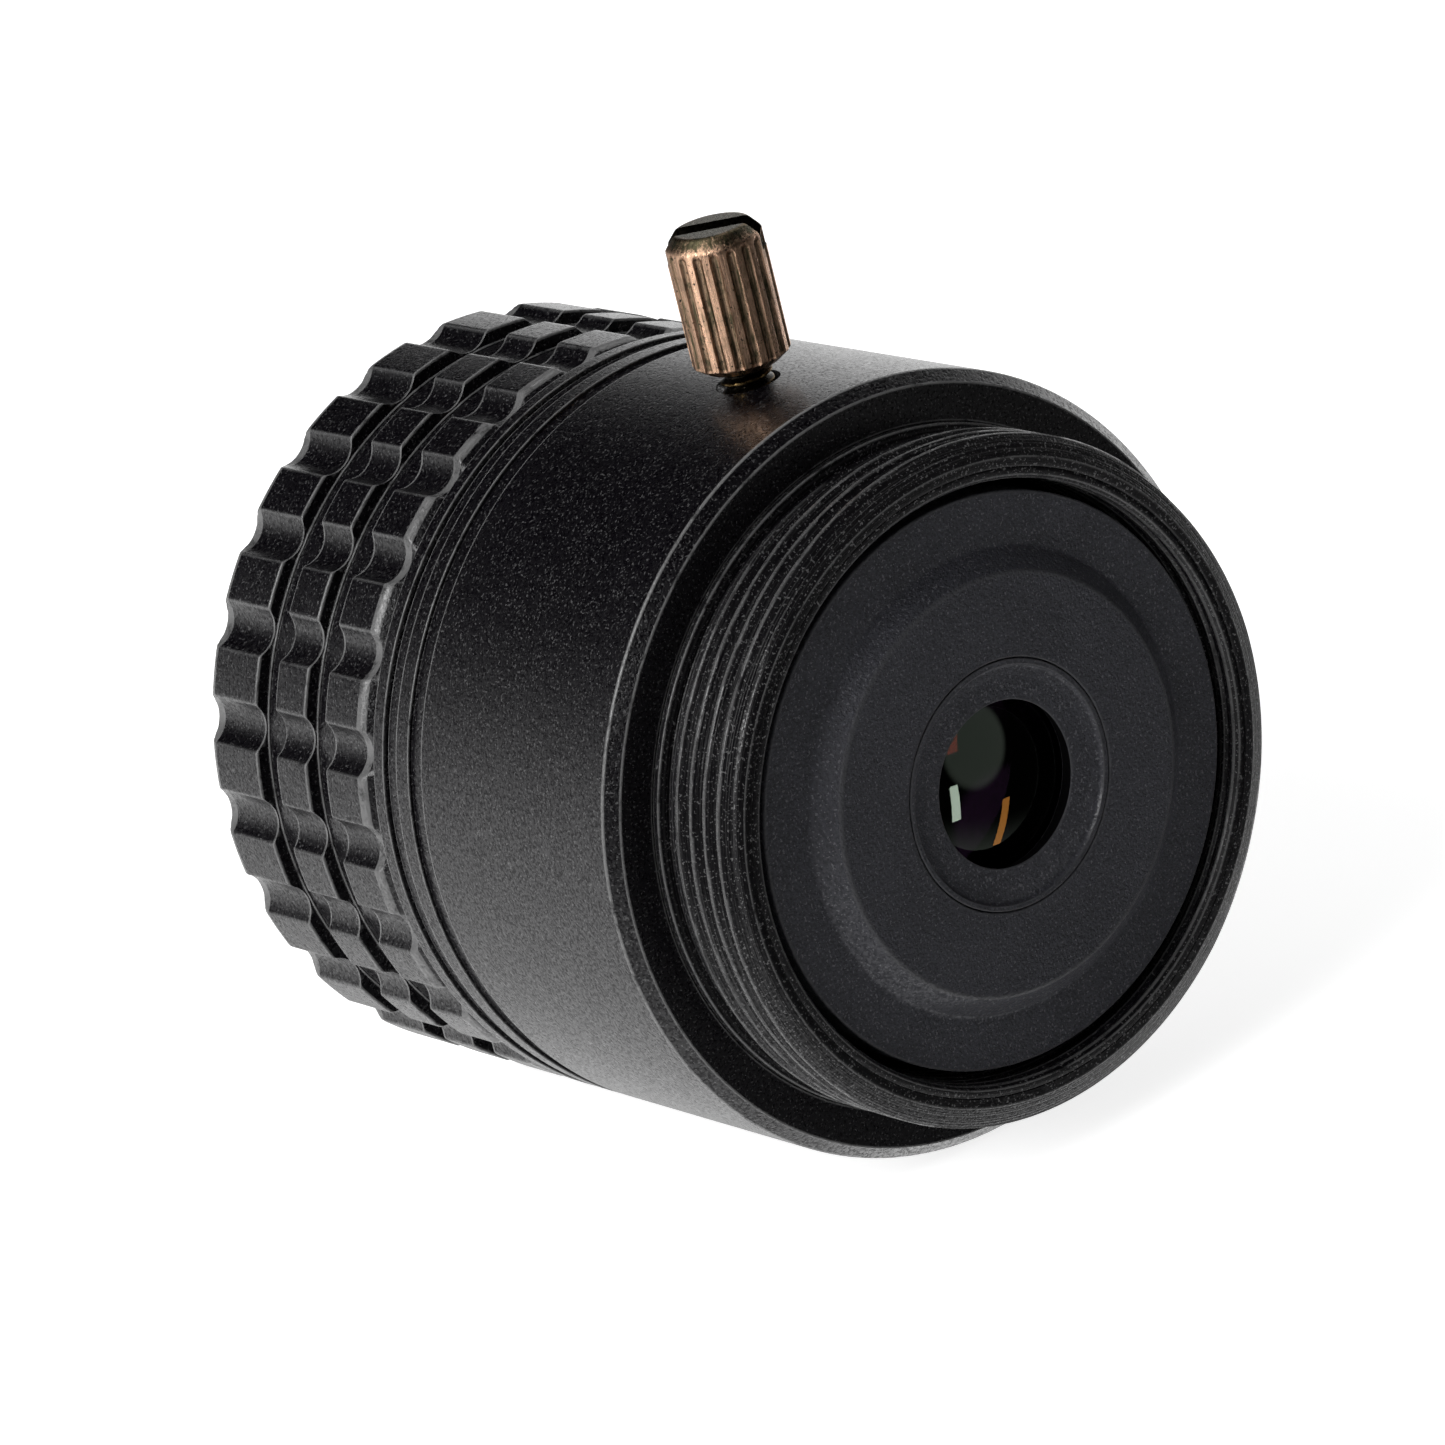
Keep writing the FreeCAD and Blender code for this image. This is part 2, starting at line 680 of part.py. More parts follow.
# ---------------------------------------------------------------- lock screw

lock_screw = new_body("lock_screw")
screw_sketch = new_sketch(lock_screw, "profile", "XZ_Plane")
draw_outline(screw_sketch, [
    ("0", "screw_foot"),
    ("screw_radius - 0.15", "screw_foot"),
    ("screw_radius", "screw_foot + 0.15"),
    ("screw_radius", "head_start"),
    ("head_radius - head_foot_chamfer", "head_start"),
    ("head_radius", "head_start + head_foot_chamfer"),
    ("head_radius", "head_end - head_chamfer"),
    ("head_flat_radius", "head_end"),
    ("0", "head_end"),
])
screw_turning = lock_screw.newObject("PartDesign::Revolution", "lock_screw_turning")
screw_turning.Profile = screw_sketch
screw_turning.ReferenceAxis = (screw_sketch, ["V_Axis"])
screw_turning.Angle = 360.0
doc.recompute()

head_flute_sketch = new_sketch(lock_screw, "flute", "XY_Plane")
head_flute_sketch.AttachmentOffset = FreeCAD.Placement(
    V(0, 0, value("head_start - 0.1")), FreeCAD.Rotation())
head_flute_sketch.addGeometry(
    Part.Circle(V(value("head_radius"), 0, 0), V(0, 0, 1), value("flute_radius")), False)
head_flute_sketch.addConstraint(Sketcher.Constraint("PointOnObject", 0, 3, -1))
number = head_flute_sketch.addConstraint(
    Sketcher.Constraint("DistanceX", -1, 1, 0, 3, value("head_radius")))
head_flute_sketch.setExpression("Constraints[%d]" % number, bound("head_radius"))
number = head_flute_sketch.addConstraint(
    Sketcher.Constraint("Radius", 0, value("flute_radius")))
head_flute_sketch.setExpression("Constraints[%d]" % number, bound("flute_radius"))
before_flute = lock_screw.Shape.Volume
head_flute = lock_screw.newObject("PartDesign::Pocket", "lock_screw_flute_cut")
head_flute.Profile = head_flute_sketch
head_flute.Type = "Length"
head_flute.Reversed = True
head_flute.setExpression("Length", bound("head_end - head_start - flute_end + 0.1"))
expect_cut(lock_screw, head_flute, before_flute)
head_flutes = lock_screw.newObject("PartDesign::PolarPattern", "lock_screw_flutes")
head_flutes.Originals = [head_flute]
head_flutes.Axis = (plane(lock_screw, "Z_Axis"), [""])
head_flutes.Angle = 360.0
head_flutes.setExpression("Occurrences", bound("head_flutes"))
lock_screw.Tip = head_flutes
doc.recompute()

driver_sketch = new_sketch(lock_screw, "driver_slot", "XY_Plane")
driver_sketch.AttachmentOffset = FreeCAD.Placement(
    V(0, 0, value("head_end - slot_cut")), FreeCAD.Rotation(V(0, 0, 1), size("slot_turn")))
box_sketch(driver_sketch,
           "-(head_radius + 1)",
           "head_radius + 1",
           "-slot_width / 2",
           "slot_width / 2")
before_slot = lock_screw.Shape.Volume
driver_slot = lock_screw.newObject("PartDesign::Pocket", "lock_screw_slot")
driver_slot.Profile = driver_sketch
driver_slot.Type = "Length"
driver_slot.Reversed = True
driver_slot.setExpression("Length", bound("slot_cut + 1"))
expect_cut(lock_screw, driver_slot, before_slot)
lock_screw.Placement = FreeCAD.Placement(V(0, value("screw_place"), 0), FreeCAD.Rotation())
lock_screw.setExpression("Placement.Base.y", bound("screw_place"))

lock_pad = radial_rod("lock_pad", 0, "screw_place", "pad_radius", "pad_foot", "pad_tip")

# ---------------------------------------------------------------- checks and files

NODES = [
    main_barrel,
    mount_ring,
    mount_grub_screws,
    friction_washer,
    nose_retaining_ring,
    focus_grip,
    helicoid_sleeve,
    ring_grub_screws,
    stop_pin,
    front_trim_ring,
    focus_carrier,
    guide_pin,
    rear_plate,
    rear_retaining_ring,
    rear_lens,
    rear_spacer,
    field_lens,
    inner_retaining_ring,
    aperture_stop,
    stop_spacer,
    doublet_flint,
    doublet_crown,
    front_spacer,
    front_lens,
    front_retaining_ring,
    lock_screw,
    lock_pad,
]

doc.recompute()
for item in doc.Objects:
    if "Invalid" in item.State or "Error" in item.State:
        raise RuntimeError("%s failed: %s" % (item.Name, item.State))
os.makedirs("parts", exist_ok=True)
for node in NODES:
    shape = node.Shape
    if shape.isNull() or not shape.isValid():
        raise RuntimeError("%s has no valid shape" % node.Label)
    shape.exportStep("parts/%s.step" % node.Label)
    print("%-22s volume %9.2f mm3, solids %d" % (node.Label, shape.Volume, len(shape.Solids)))
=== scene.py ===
import math

import bmesh
import bpy
import numpy as np
from bpy.props import FloatProperty, FloatVectorProperty, IntProperty, PointerProperty
from mathutils import Matrix, Vector


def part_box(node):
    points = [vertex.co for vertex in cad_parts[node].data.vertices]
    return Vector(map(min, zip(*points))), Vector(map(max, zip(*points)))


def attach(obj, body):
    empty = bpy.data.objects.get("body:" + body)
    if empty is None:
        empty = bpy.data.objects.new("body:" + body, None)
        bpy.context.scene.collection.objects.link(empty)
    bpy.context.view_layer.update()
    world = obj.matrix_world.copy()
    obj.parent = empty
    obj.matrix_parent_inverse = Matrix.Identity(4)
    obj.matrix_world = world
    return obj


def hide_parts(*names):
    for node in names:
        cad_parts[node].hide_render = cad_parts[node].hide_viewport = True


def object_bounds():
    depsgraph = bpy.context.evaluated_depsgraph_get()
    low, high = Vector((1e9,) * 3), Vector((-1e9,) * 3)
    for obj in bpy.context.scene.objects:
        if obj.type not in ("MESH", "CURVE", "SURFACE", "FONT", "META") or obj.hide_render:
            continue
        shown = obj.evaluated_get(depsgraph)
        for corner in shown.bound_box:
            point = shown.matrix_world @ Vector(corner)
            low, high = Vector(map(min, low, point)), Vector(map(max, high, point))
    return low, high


bl_info = {
    "name": "Threaded focusing lens",
    "version": (1, 0, 0),
    "blender": (4, 5, 0),
    "location": "View3D > Sidebar > Lens",
    "description": "Builds a small threaded focusing lens with a fluted brass lock screw",
    "category": "Add Mesh",
}

MM = 0.001
MERGE_DISTANCE = 0.0002 * MM
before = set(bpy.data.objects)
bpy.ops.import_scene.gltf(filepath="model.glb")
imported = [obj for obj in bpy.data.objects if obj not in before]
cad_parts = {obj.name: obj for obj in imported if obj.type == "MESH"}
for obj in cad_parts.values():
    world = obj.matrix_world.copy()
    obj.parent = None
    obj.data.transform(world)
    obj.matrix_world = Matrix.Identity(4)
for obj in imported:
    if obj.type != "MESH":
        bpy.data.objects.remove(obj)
CAD_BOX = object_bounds()


def reach(node, axis, side=1):
    """How far a node reaches along one axis, in millimetres."""
    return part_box(node)[side][axis] / MM


BARREL_RADIUS = reach("main_barrel", 0)
THREAD_RADIUS = reach("mount_ring", 0)
LIP_PLACE = reach("mount_ring", 1, 0)
PILOT_END = reach("mount_ring", 1)
NOSE_END = reach("main_barrel", 1)
RING_START = reach("focus_grip", 1, 0)
RING_END = reach("focus_grip", 1)
TRIM_START = reach("front_trim_ring", 1, 0)
TRIM_END = reach("front_trim_ring", 1)
TRIM_RADIUS = reach("front_trim_ring", 0)
PLATE_RADIUS = reach("rear_plate", 0)
BOSS_PLACE = reach("rear_plate", 1, 0)
PLATE_SHANK_END = reach("rear_plate", 1)
WINDOW_RING_RADIUS = reach("rear_retaining_ring", 0)
WINDOW_RING_END = reach("rear_retaining_ring", 1)
REAR_LENS_VERTEX = reach("rear_lens", 1, 0)
REAR_LENS_FRONT = reach("rear_lens", 1)
REAR_LENS_RADIUS = reach("rear_lens", 0)
FRONT_LENS_REAR = reach("front_lens", 1, 0)
FRONT_LENS_VERTEX = reach("front_lens", 1)
FRONT_LENS_RADIUS = reach("front_lens", 0)
CELL_END = reach("focus_carrier", 1)
CELL_NECK_START = reach("focus_carrier", 1, 0)
FRONT_RING_START = reach("front_retaining_ring", 1, 0)
FRONT_RING_RADIUS = reach("front_retaining_ring", 0)
HEAD_RADIUS = reach("lock_screw", 0)
HEAD_END = reach("lock_screw", 2)
SCREW_FOOT = reach("lock_screw", 2, 0)
SCREW_PLACE = (reach("lock_screw", 1, 0) + reach("lock_screw", 1)) / 2
HEAD_START = 15.3
SLOT_WIDTH = 0.96


# ------------------------------------------------------------------ settings


class LensSizes(bpy.types.PropertyGroup):
    """Sizes that can be changed, in millimetres unless they say otherwise."""

    segments: IntProperty(
        name="Segments", description="Faces round a turned piece", default=360, min=48)
    edge_round: FloatProperty(
        name="Edge rounding", description="Radius that takes the sharpness off an edge",
        default=0.05, min=0.0)
    groove_depth: FloatProperty(
        name="Groove depth", description="Depth of the fine grooves in the barrel", default=0.17)
    lobes: IntProperty(
        name="Lobes", description="Lobes round the focusing ring", default=25)
    lobe_turn: FloatProperty(
        name="Lobe turn", description="Angle of the first lobe from the top",
        default=math.radians(5.3), subtype="ANGLE")
    scallop_radius: FloatProperty(
        name="Scallop radius", description="Radius of the cutter between lobes", default=1.09)
    scallop_centre: FloatProperty(
        name="Scallop centre", description="Distance of that cutter from the axis", default=15.2)
    mount_pitch: FloatProperty(
        name="Mount pitch", description="Distance between the mount thread's turns",
        default=25.4 / 32)
    mount_thread_depth: FloatProperty(
        name="Mount thread depth", description="Height of the mount thread's turns", default=0.44)
    filter_pitch: FloatProperty(
        name="Filter pitch", description="Distance between the filter thread's turns", default=0.5)
    screw_pitch: FloatProperty(
        name="Screw pitch", description="Distance between the lock screw's turns", default=0.4)
    flutes: IntProperty(name="Flutes", description="Flutes round the screw's head", default=18)


class LensColours(bpy.types.PropertyGroup):
    """Base colours of the finishes."""

    anodised: FloatVectorProperty(
        name="Anodised", description="Satin black of the barrel and the focusing ring",
        default=(0.0014, 0.0010, 0.0020), size=3, subtype="COLOR", min=0, max=1)
    matt: FloatVectorProperty(
        name="Matt", description="Charcoal of the rear plate",
        default=(0.0370, 0.0375, 0.0450), size=3, subtype="COLOR", min=0, max=1)
    brass: FloatVectorProperty(
        name="Brass", description="Coppery brass of the lock screw",
        default=(0.80, 0.50, 0.34), size=3, subtype="COLOR", min=0, max=1)
    tarnish: FloatVectorProperty(
        name="Tarnish", description="Brown-green film in the screw's flutes",
        default=(0.085, 0.074, 0.042), size=3, subtype="COLOR", min=0, max=1)


# ------------------------------------------------------------------ mesh tools


def orientation(corners):
    """Twice the signed area of a closed outline."""
    total = 0.0
    for index, corner in enumerate(corners):
        after = corners[(index + 1) % len(corners)]
        total += corner[0] * after[1] - after[0] * corner[1]
    return total


def rounded_outline(corners, rounding, steps=4):
    """Take the sharpness off a closed outline of (radius, place[, rounding]) corners.

    Returns (radius, place, wear-and-highlight) points.  That value is 1 on a rounded outer edge,
    else 0: the edge is lightened for wear and for a painted highlight.
    """
    sense = math.copysign(1.0, orientation(corners))
    points = []
    for index, corner in enumerate(corners):
        here = Vector(corner[:2])
        before = Vector(corners[index - 1][:2]) - here
        after = Vector(corners[(index + 1) % len(corners)][:2]) - here
        size = corner[2] if len(corner) > 2 else rounding
        half = before.angle(after) / 2
        if size <= 0 or half > math.radians(88):
            points.append((here.x, here.y, 0.0))
            continue
        run = min(size / math.tan(half), 0.45 * min(before.length, after.length))
        size = run * math.tan(half)
        before_way = before.normalized()
        after_way = after.normalized()
        centre = here + (before_way + after_way).normalized() * (size / math.sin(half))
        turn = before.x * after.y - before.y * after.x
        wear_and_highlight = 1.0 if turn * sense < 0 else 0.0
        start = here + before_way * run - centre
        end = here + after_way * run - centre
        sweep = start.angle_signed(end)
        margin_before = min(0.04, 0.3 * (before.length - run))
        margin_after = min(0.04, 0.3 * (after.length - run))
        flat = here + before_way * (run + margin_before)
        points.append((flat.x, flat.y, 0.0))
        for step in range(steps + 1):
            arm = start.copy()
            arm.rotate(Matrix.Rotation(-sweep * step / steps, 2))
            points.append((centre.x + arm.x, centre.y + arm.y, wear_and_highlight))
        flat = here + after_way * (run + margin_after)
        points.append((flat.x, flat.y, 0.0))
    return points


def new_piece(name, vertices, faces, wear_and_highlight=None):
    """A smooth-shaded mesh object from coordinates in millimetres."""
    mesh = bpy.data.meshes.new(name)
    mesh.from_pydata(np.asarray(vertices) * MM, [], faces)
    if wear_and_highlight is not None:
        layer = mesh.attributes.new("wear_and_highlight", "FLOAT", "POINT")
        layer.data.foreach_set("value", np.asarray(wear_and_highlight, dtype=np.float32))
    piece = bpy.data.objects.new(name, mesh)
    bpy.context.scene.collection.objects.link(piece)
    tidy(piece)
    return piece


def tidy(piece):
    """Merge doubled vertices, face everything outwards and shade it smooth."""
    shape = bmesh.new()
    shape.from_mesh(piece.data)
    bmesh.ops.remove_doubles(shape, verts=shape.verts, dist=MERGE_DISTANCE)
    bmesh.ops.recalc_face_normals(shape, faces=shape.faces)
    for face in shape.faces:
        face.smooth = True
    shape.to_mesh(piece.data)
    shape.free()
    piece.data.update()


def turned(name, points, segments, shape_radius=None, closed=True, along="Y", centre=(0, 0, 0)):
    """Sweep (radius, place, wear-and-highlight) points round an axis.

    shape_radius(angles, radius, place) may return new radii and extra wear and painted highlight
    for one point.
    """
    angles = np.arange(segments) * (2 * math.pi / segments)
    rows = []
    wears_and_highlights = []
    for radius, place, wear_and_highlight in points:
        radii = np.full(segments, radius)
        extra = np.zeros(segments)
        if shape_radius:
            radii, extra = shape_radius(angles, radius, place)
        level = np.full(segments, place)
        if along == "Y":
            rows.append(np.stack([radii * np.sin(angles), level, radii * np.cos(angles)], axis=1))
        else:
            rows.append(np.stack([radii * np.cos(angles), radii * np.sin(angles), level], axis=1))
        wears_and_highlights.append(np.clip(wear_and_highlight + extra, 0, 1))
    count = len(rows)
    vertices = np.concatenate(rows) + np.asarray(centre)
    faces = []
    for row in range(count if closed else count - 1):
        below = row * segments
        above = ((row + 1) % count) * segments
        for step in range(segments):
            after = (step + 1) % segments
            faces.append((below + step, below + after, above + after, above + step))
    return new_piece(name, vertices, faces, np.concatenate(wears_and_highlights))


def lens_points(edge, rear, rear_curve, front, front_curve, bevel=0.12, steps=28):
    """Outline of a lens from one pole to the other: vertex places, and radii of curvature.

    A curve is positive where the face bulges outwards, and zero where it is flat.
    """
    def face(radius, vertex, curve, way):
        if not curve:
            return vertex
        sag = abs(curve) - math.sqrt(curve * curve - radius * radius)
        return vertex - way * math.copysign(sag, curve)

    rim = edge - bevel
    radii = [rim * step / steps for step in range(steps + 1)]
    points = [(radius, face(radius, rear, rear_curve, -1), 0.0) for radius in radii]
    points.append((edge, points[-1][1] + bevel, 0.0))
    ahead = [(radius, face(radius, front, front_curve, 1), 0.0) for radius in reversed(radii)]
    points.append((edge, ahead[0][1] - bevel, 0.0))
    return points + ahead


def cut_out(piece, cutter):
    """Cut one mesh out of another, and leave nothing of the cutter behind."""
    modifier = piece.modifiers.new("cut", "BOOLEAN")
    modifier.operation = "DIFFERENCE"
    modifier.solver = "EXACT"
    modifier.object = cutter
    graph = bpy.context.evaluated_depsgraph_get()
    graph.update()
    result = bpy.data.meshes.new_from_object(piece.evaluated_get(graph), depsgraph=graph)
    piece.modifiers.clear()
    piece.data = result
    bpy.data.objects.remove(cutter)
    for face in piece.data.polygons:
        face.use_smooth = True


def cut_slot(piece, width, depth, length, centre, turn=0.0):
    """Cut a straight slot with square corners, turned about the upright axis."""
    mesh = bpy.data.meshes.new("slot")
    shape = bmesh.new()
    bmesh.ops.create_cube(
        shape, size=1.0, matrix=Matrix.Diagonal((length * MM, width * MM, depth * MM, 1.0)))
    shape.to_mesh(mesh)
    shape.free()
    cutter = bpy.data.objects.new("slot", mesh)
    cutter.location = Vector(centre) * MM
    cutter.rotation_euler = (0, 0, turn)
    bpy.context.scene.collection.objects.link(cutter)
    cut_out(piece, cutter)


def sharpen(piece, degrees):
    """Split the shading where faces meet at more than this angle."""
    shape = bmesh.new()
    shape.from_mesh(piece.data)
    limit = math.radians(degrees)
    for edge in shape.edges:
        if len(edge.link_faces) == 2:
            edge.smooth = edge.calc_face_angle(0) < limit
    shape.to_mesh(piece.data)
    shape.free()


def finish_piece(piece, body, material, nodes=()):
    """Give a piece its finish, the body it rides on and the CAD nodes it stands for."""
    piece.data.materials.clear()
    piece.data.materials.append(material)
    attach(piece, body)
    if nodes:
        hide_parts(*nodes)


def second_finish(piece, material, belongs):
    """Give another finish to the faces whose middle belongs to a part of the piece.

    The test is given the middle of a face and its distance from the optical axis, in millimetres.
    """
    piece.data.materials.append(material)
    for face in piece.data.polygons:
        middle = face.center / MM
        if belongs(middle, math.hypot(middle.x, middle.z)):
            face.material_index = 1


def cover(node, material):
    """Give a CAD node a finish."""
    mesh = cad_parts[node].data
    mesh.materials.clear()
    mesh.materials.append(material)


# ------------------------------------------------------------------ node tools


def link(tree, source, target):
    """Join two sockets."""
    tree.links.new(source, target)


def maths(tree, operation, *values, clamp=False):
    """A Math node; each value is a number or a socket."""
    node = tree.nodes.new("ShaderNodeMath")
    node.operation = operation
    node.use_clamp = clamp
    for index, value in enumerate(values):
        if isinstance(value, (int, float)):
            node.inputs[index].default_value = value
        else:
            link(tree, value, node.inputs[index])
    return node.outputs[0]


def noise(tree, vector, scale, detail=2.0, roughness=0.5):
    """A Noise texture's value."""
    node = tree.nodes.new("ShaderNodeTexNoise")
    node.inputs["Detail"].default_value = detail
    node.inputs["Roughness"].default_value = roughness
    if isinstance(scale, (int, float)):
        node.inputs["Scale"].default_value = scale
    else:
        link(tree, scale, node.inputs["Scale"])
    link(tree, vector, node.inputs["Vector"])
    return node.outputs["Fac"]


def span(tree, value, low, high, new_low=0.0, new_high=1.0):
    """A smooth Map Range from one span to another."""
    node = tree.nodes.new("ShaderNodeMapRange")
    node.interpolation_type = "SMOOTHSTEP"
    link(tree, value, node.inputs["Value"])
    for socket, number in zip(("From Min", "From Max", "To Min", "To Max"),
                              (low, high, new_low, new_high)):
        if isinstance(number, (int, float)):
            node.inputs[socket].default_value = number
        else:
            link(tree, number, node.inputs[socket])
    return node.outputs["Result"]


def blend_colours(tree, mask, first, second):
    """Mix two colours, each a plain colour or a socket."""
    node = tree.nodes.new("ShaderNodeMix")
    node.data_type = "RGBA"
    link(tree, mask, node.inputs["Factor"])
    for socket, colour in ((node.inputs[6], first), (node.inputs[7], second)):
        if isinstance(colour, bpy.types.NodeSocket):
            link(tree, colour, socket)
        else:
            socket.default_value = (*colour[:3], 1.0)
    return node.outputs[2]


def object_millimetres(tree):
    """The surface's own coordinates, in millimetres."""
    place = tree.nodes.new("ShaderNodeTexCoord")
    scale = tree.nodes.new("ShaderNodeVectorMath")
    scale.operation = "SCALE"
    scale.inputs["Scale"].default_value = 1.0 / MM
    link(tree, place.outputs["Object"], scale.inputs[0])
    return scale.outputs[0]


def wear_and_highlight_layer(tree):
    """How much of a worn edge, with its painted highlight, the surface is, as kept with its mesh.
    """
    node = tree.nodes.new("ShaderNodeAttribute")
    node.attribute_name = "wear_and_highlight"
    return node.outputs["Fac"]


def make_group(name, inputs, outputs):
    """An empty shader node group; inputs are (name, kind, default)."""
    group = bpy.data.node_groups.new(name, "ShaderNodeTree")
    for label, kind, default in inputs:
        socket = group.interface.new_socket(name=label, in_out="INPUT", socket_type=kind)
        if default is not None:
            socket.default_value = default
    for label, kind in outputs:
        group.interface.new_socket(name=label, in_out="OUTPUT", socket_type=kind)
    entry = group.nodes.new("NodeGroupInput")
    leave = group.nodes.new("NodeGroupOutput")
    return group, entry.outputs, leave.inputs


def grain_group():
    """Fine blasted grain: a height for bump, slow clouds, a mottle, and scattered specks that mark
    painted glints.
    """
    name = "Blasted grain"
    if name in bpy.data.node_groups:
        return bpy.data.node_groups[name]
    group, given, made = make_group(
        name,
        [("Vector", "NodeSocketVector", None), ("Grain", "NodeSocketFloat", 12.0)],
        [("Height", "NodeSocketFloat"), ("Cloud", "NodeSocketFloat"), ("Mottle", "NodeSocketFloat"),
         ("Painted glint", "NodeSocketFloat")])
    fine = noise(group, given["Vector"], given["Grain"], detail=2.0, roughness=0.6)
    wide = maths(group, "MULTIPLY", given["Grain"], 0.31)
    coarse = noise(group, given["Vector"], wide, detail=3.0)
    height = maths(group, "ADD", maths(group, "MULTIPLY", fine, 0.7),
                   maths(group, "MULTIPLY", coarse, 0.3))
    link(group, height, made["Height"])
    cloud = noise(group, given["Vector"], 0.35, detail=3.0)
    link(group, span(group, cloud, 0.3, 0.7), made["Cloud"])
    link(group, span(group, fine, 0.36, 0.64), made["Mottle"])
    # Mask of the specks that paint glints of light off the grain into the colour.
    dots = noise(group, given["Vector"], maths(group, "MULTIPLY", given["Grain"], 1.25), detail=1.0)
    link(group, span(group, dots, 0.61, 0.69), made["Painted glint"])
    return group


def worn_and_highlit_edge_group():
    """Broken rubbing along an edge, which also paints a highlight there: a mask from the edge layer
    and a noise.
    """
    name = "Worn edge"
    if name in bpy.data.node_groups:
        return bpy.data.node_groups[name]
    group, given, made = make_group(
        name,
        [("Vector", "NodeSocketVector", None), ("Edge", "NodeSocketFloat", 0.0),
         ("Amount", "NodeSocketFloat", 0.5)],
        [("Mask", "NodeSocketFloat")])
    patchy = noise(group, given["Vector"], 1.3, detail=4.0, roughness=0.65)
    limit = maths(group, "SUBTRACT", 1.0, given["Amount"])
    rubbed_and_lit = span(group, patchy, limit, maths(group, "ADD", limit, 0.25))
    link(group, maths(group, "MULTIPLY", rubbed_and_lit, given["Edge"], clamp=True), made["Mask"])
    return group


def turning_group():
    """Tool marks that run round the optical axis: a height for bump."""
    name = "Turning marks"
    if name in bpy.data.node_groups:
        return bpy.data.node_groups[name]
    group, given, made = make_group(
        name,
        [("Vector", "NodeSocketVector", None), ("Marks", "NodeSocketFloat", 18.0)],
        [("Height", "NodeSocketFloat")])
    parts = group.nodes.new("ShaderNodeSeparateXYZ")
    link(group, given["Vector"], parts.inputs[0])
    across = maths(group, "MULTIPLY", parts.outputs["X"], parts.outputs["X"])
    upright = maths(group, "MULTIPLY", parts.outputs["Z"], parts.outputs["Z"])
    radius = maths(group, "SQRT", maths(group, "ADD", across, upright))
    rings = group.nodes.new("ShaderNodeCombineXYZ")
    link(group, radius, rings.inputs["X"])
    link(group, parts.outputs["Y"], rings.inputs["Y"])
    link(group, noise(group, rings.outputs[0], given["Marks"], detail=3.0), made["Height"])
    return group


def place_group(tree, group, **values):
    """Put a node group in a material; each value is a number or a socket."""
    node = tree.nodes.new("ShaderNodeGroup")
    node.node_tree = group
    for label, value in values.items():
        if isinstance(value, (int, float)):
            node.inputs[label].default_value = value
        else:
            link(tree, value, node.inputs[label])
    return node.outputs


def new_material(name, **constants):
    """A material with one Principled shader, whose plain values are set on its sockets."""
    material = bpy.data.materials.new(name)
    material.use_nodes = True
    tree = material.node_tree
    shader = tree.nodes["Principled BSDF"]
    for label, value in constants.items():
        shader.inputs[label.replace("_", " ")].default_value = value
    return material, tree, shader


def add_bump(tree, shader, height, strength, distance):
    """Feed a height to the shader's normal through a Bump node."""
    bump = tree.nodes.new("ShaderNodeBump")
    bump.inputs["Strength"].default_value = strength
    bump.inputs["Distance"].default_value = distance * MM
    link(tree, height, bump.inputs["Height"])
    link(tree, bump.outputs["Normal"], shader.inputs["Normal"])


# ------------------------------------------------------------------ finishes


def colours():
    """The scene's colour settings."""
    return bpy.context.scene.lens_colours


def sizes():
    """The scene's size settings."""
    return bpy.context.scene.lens_sizes


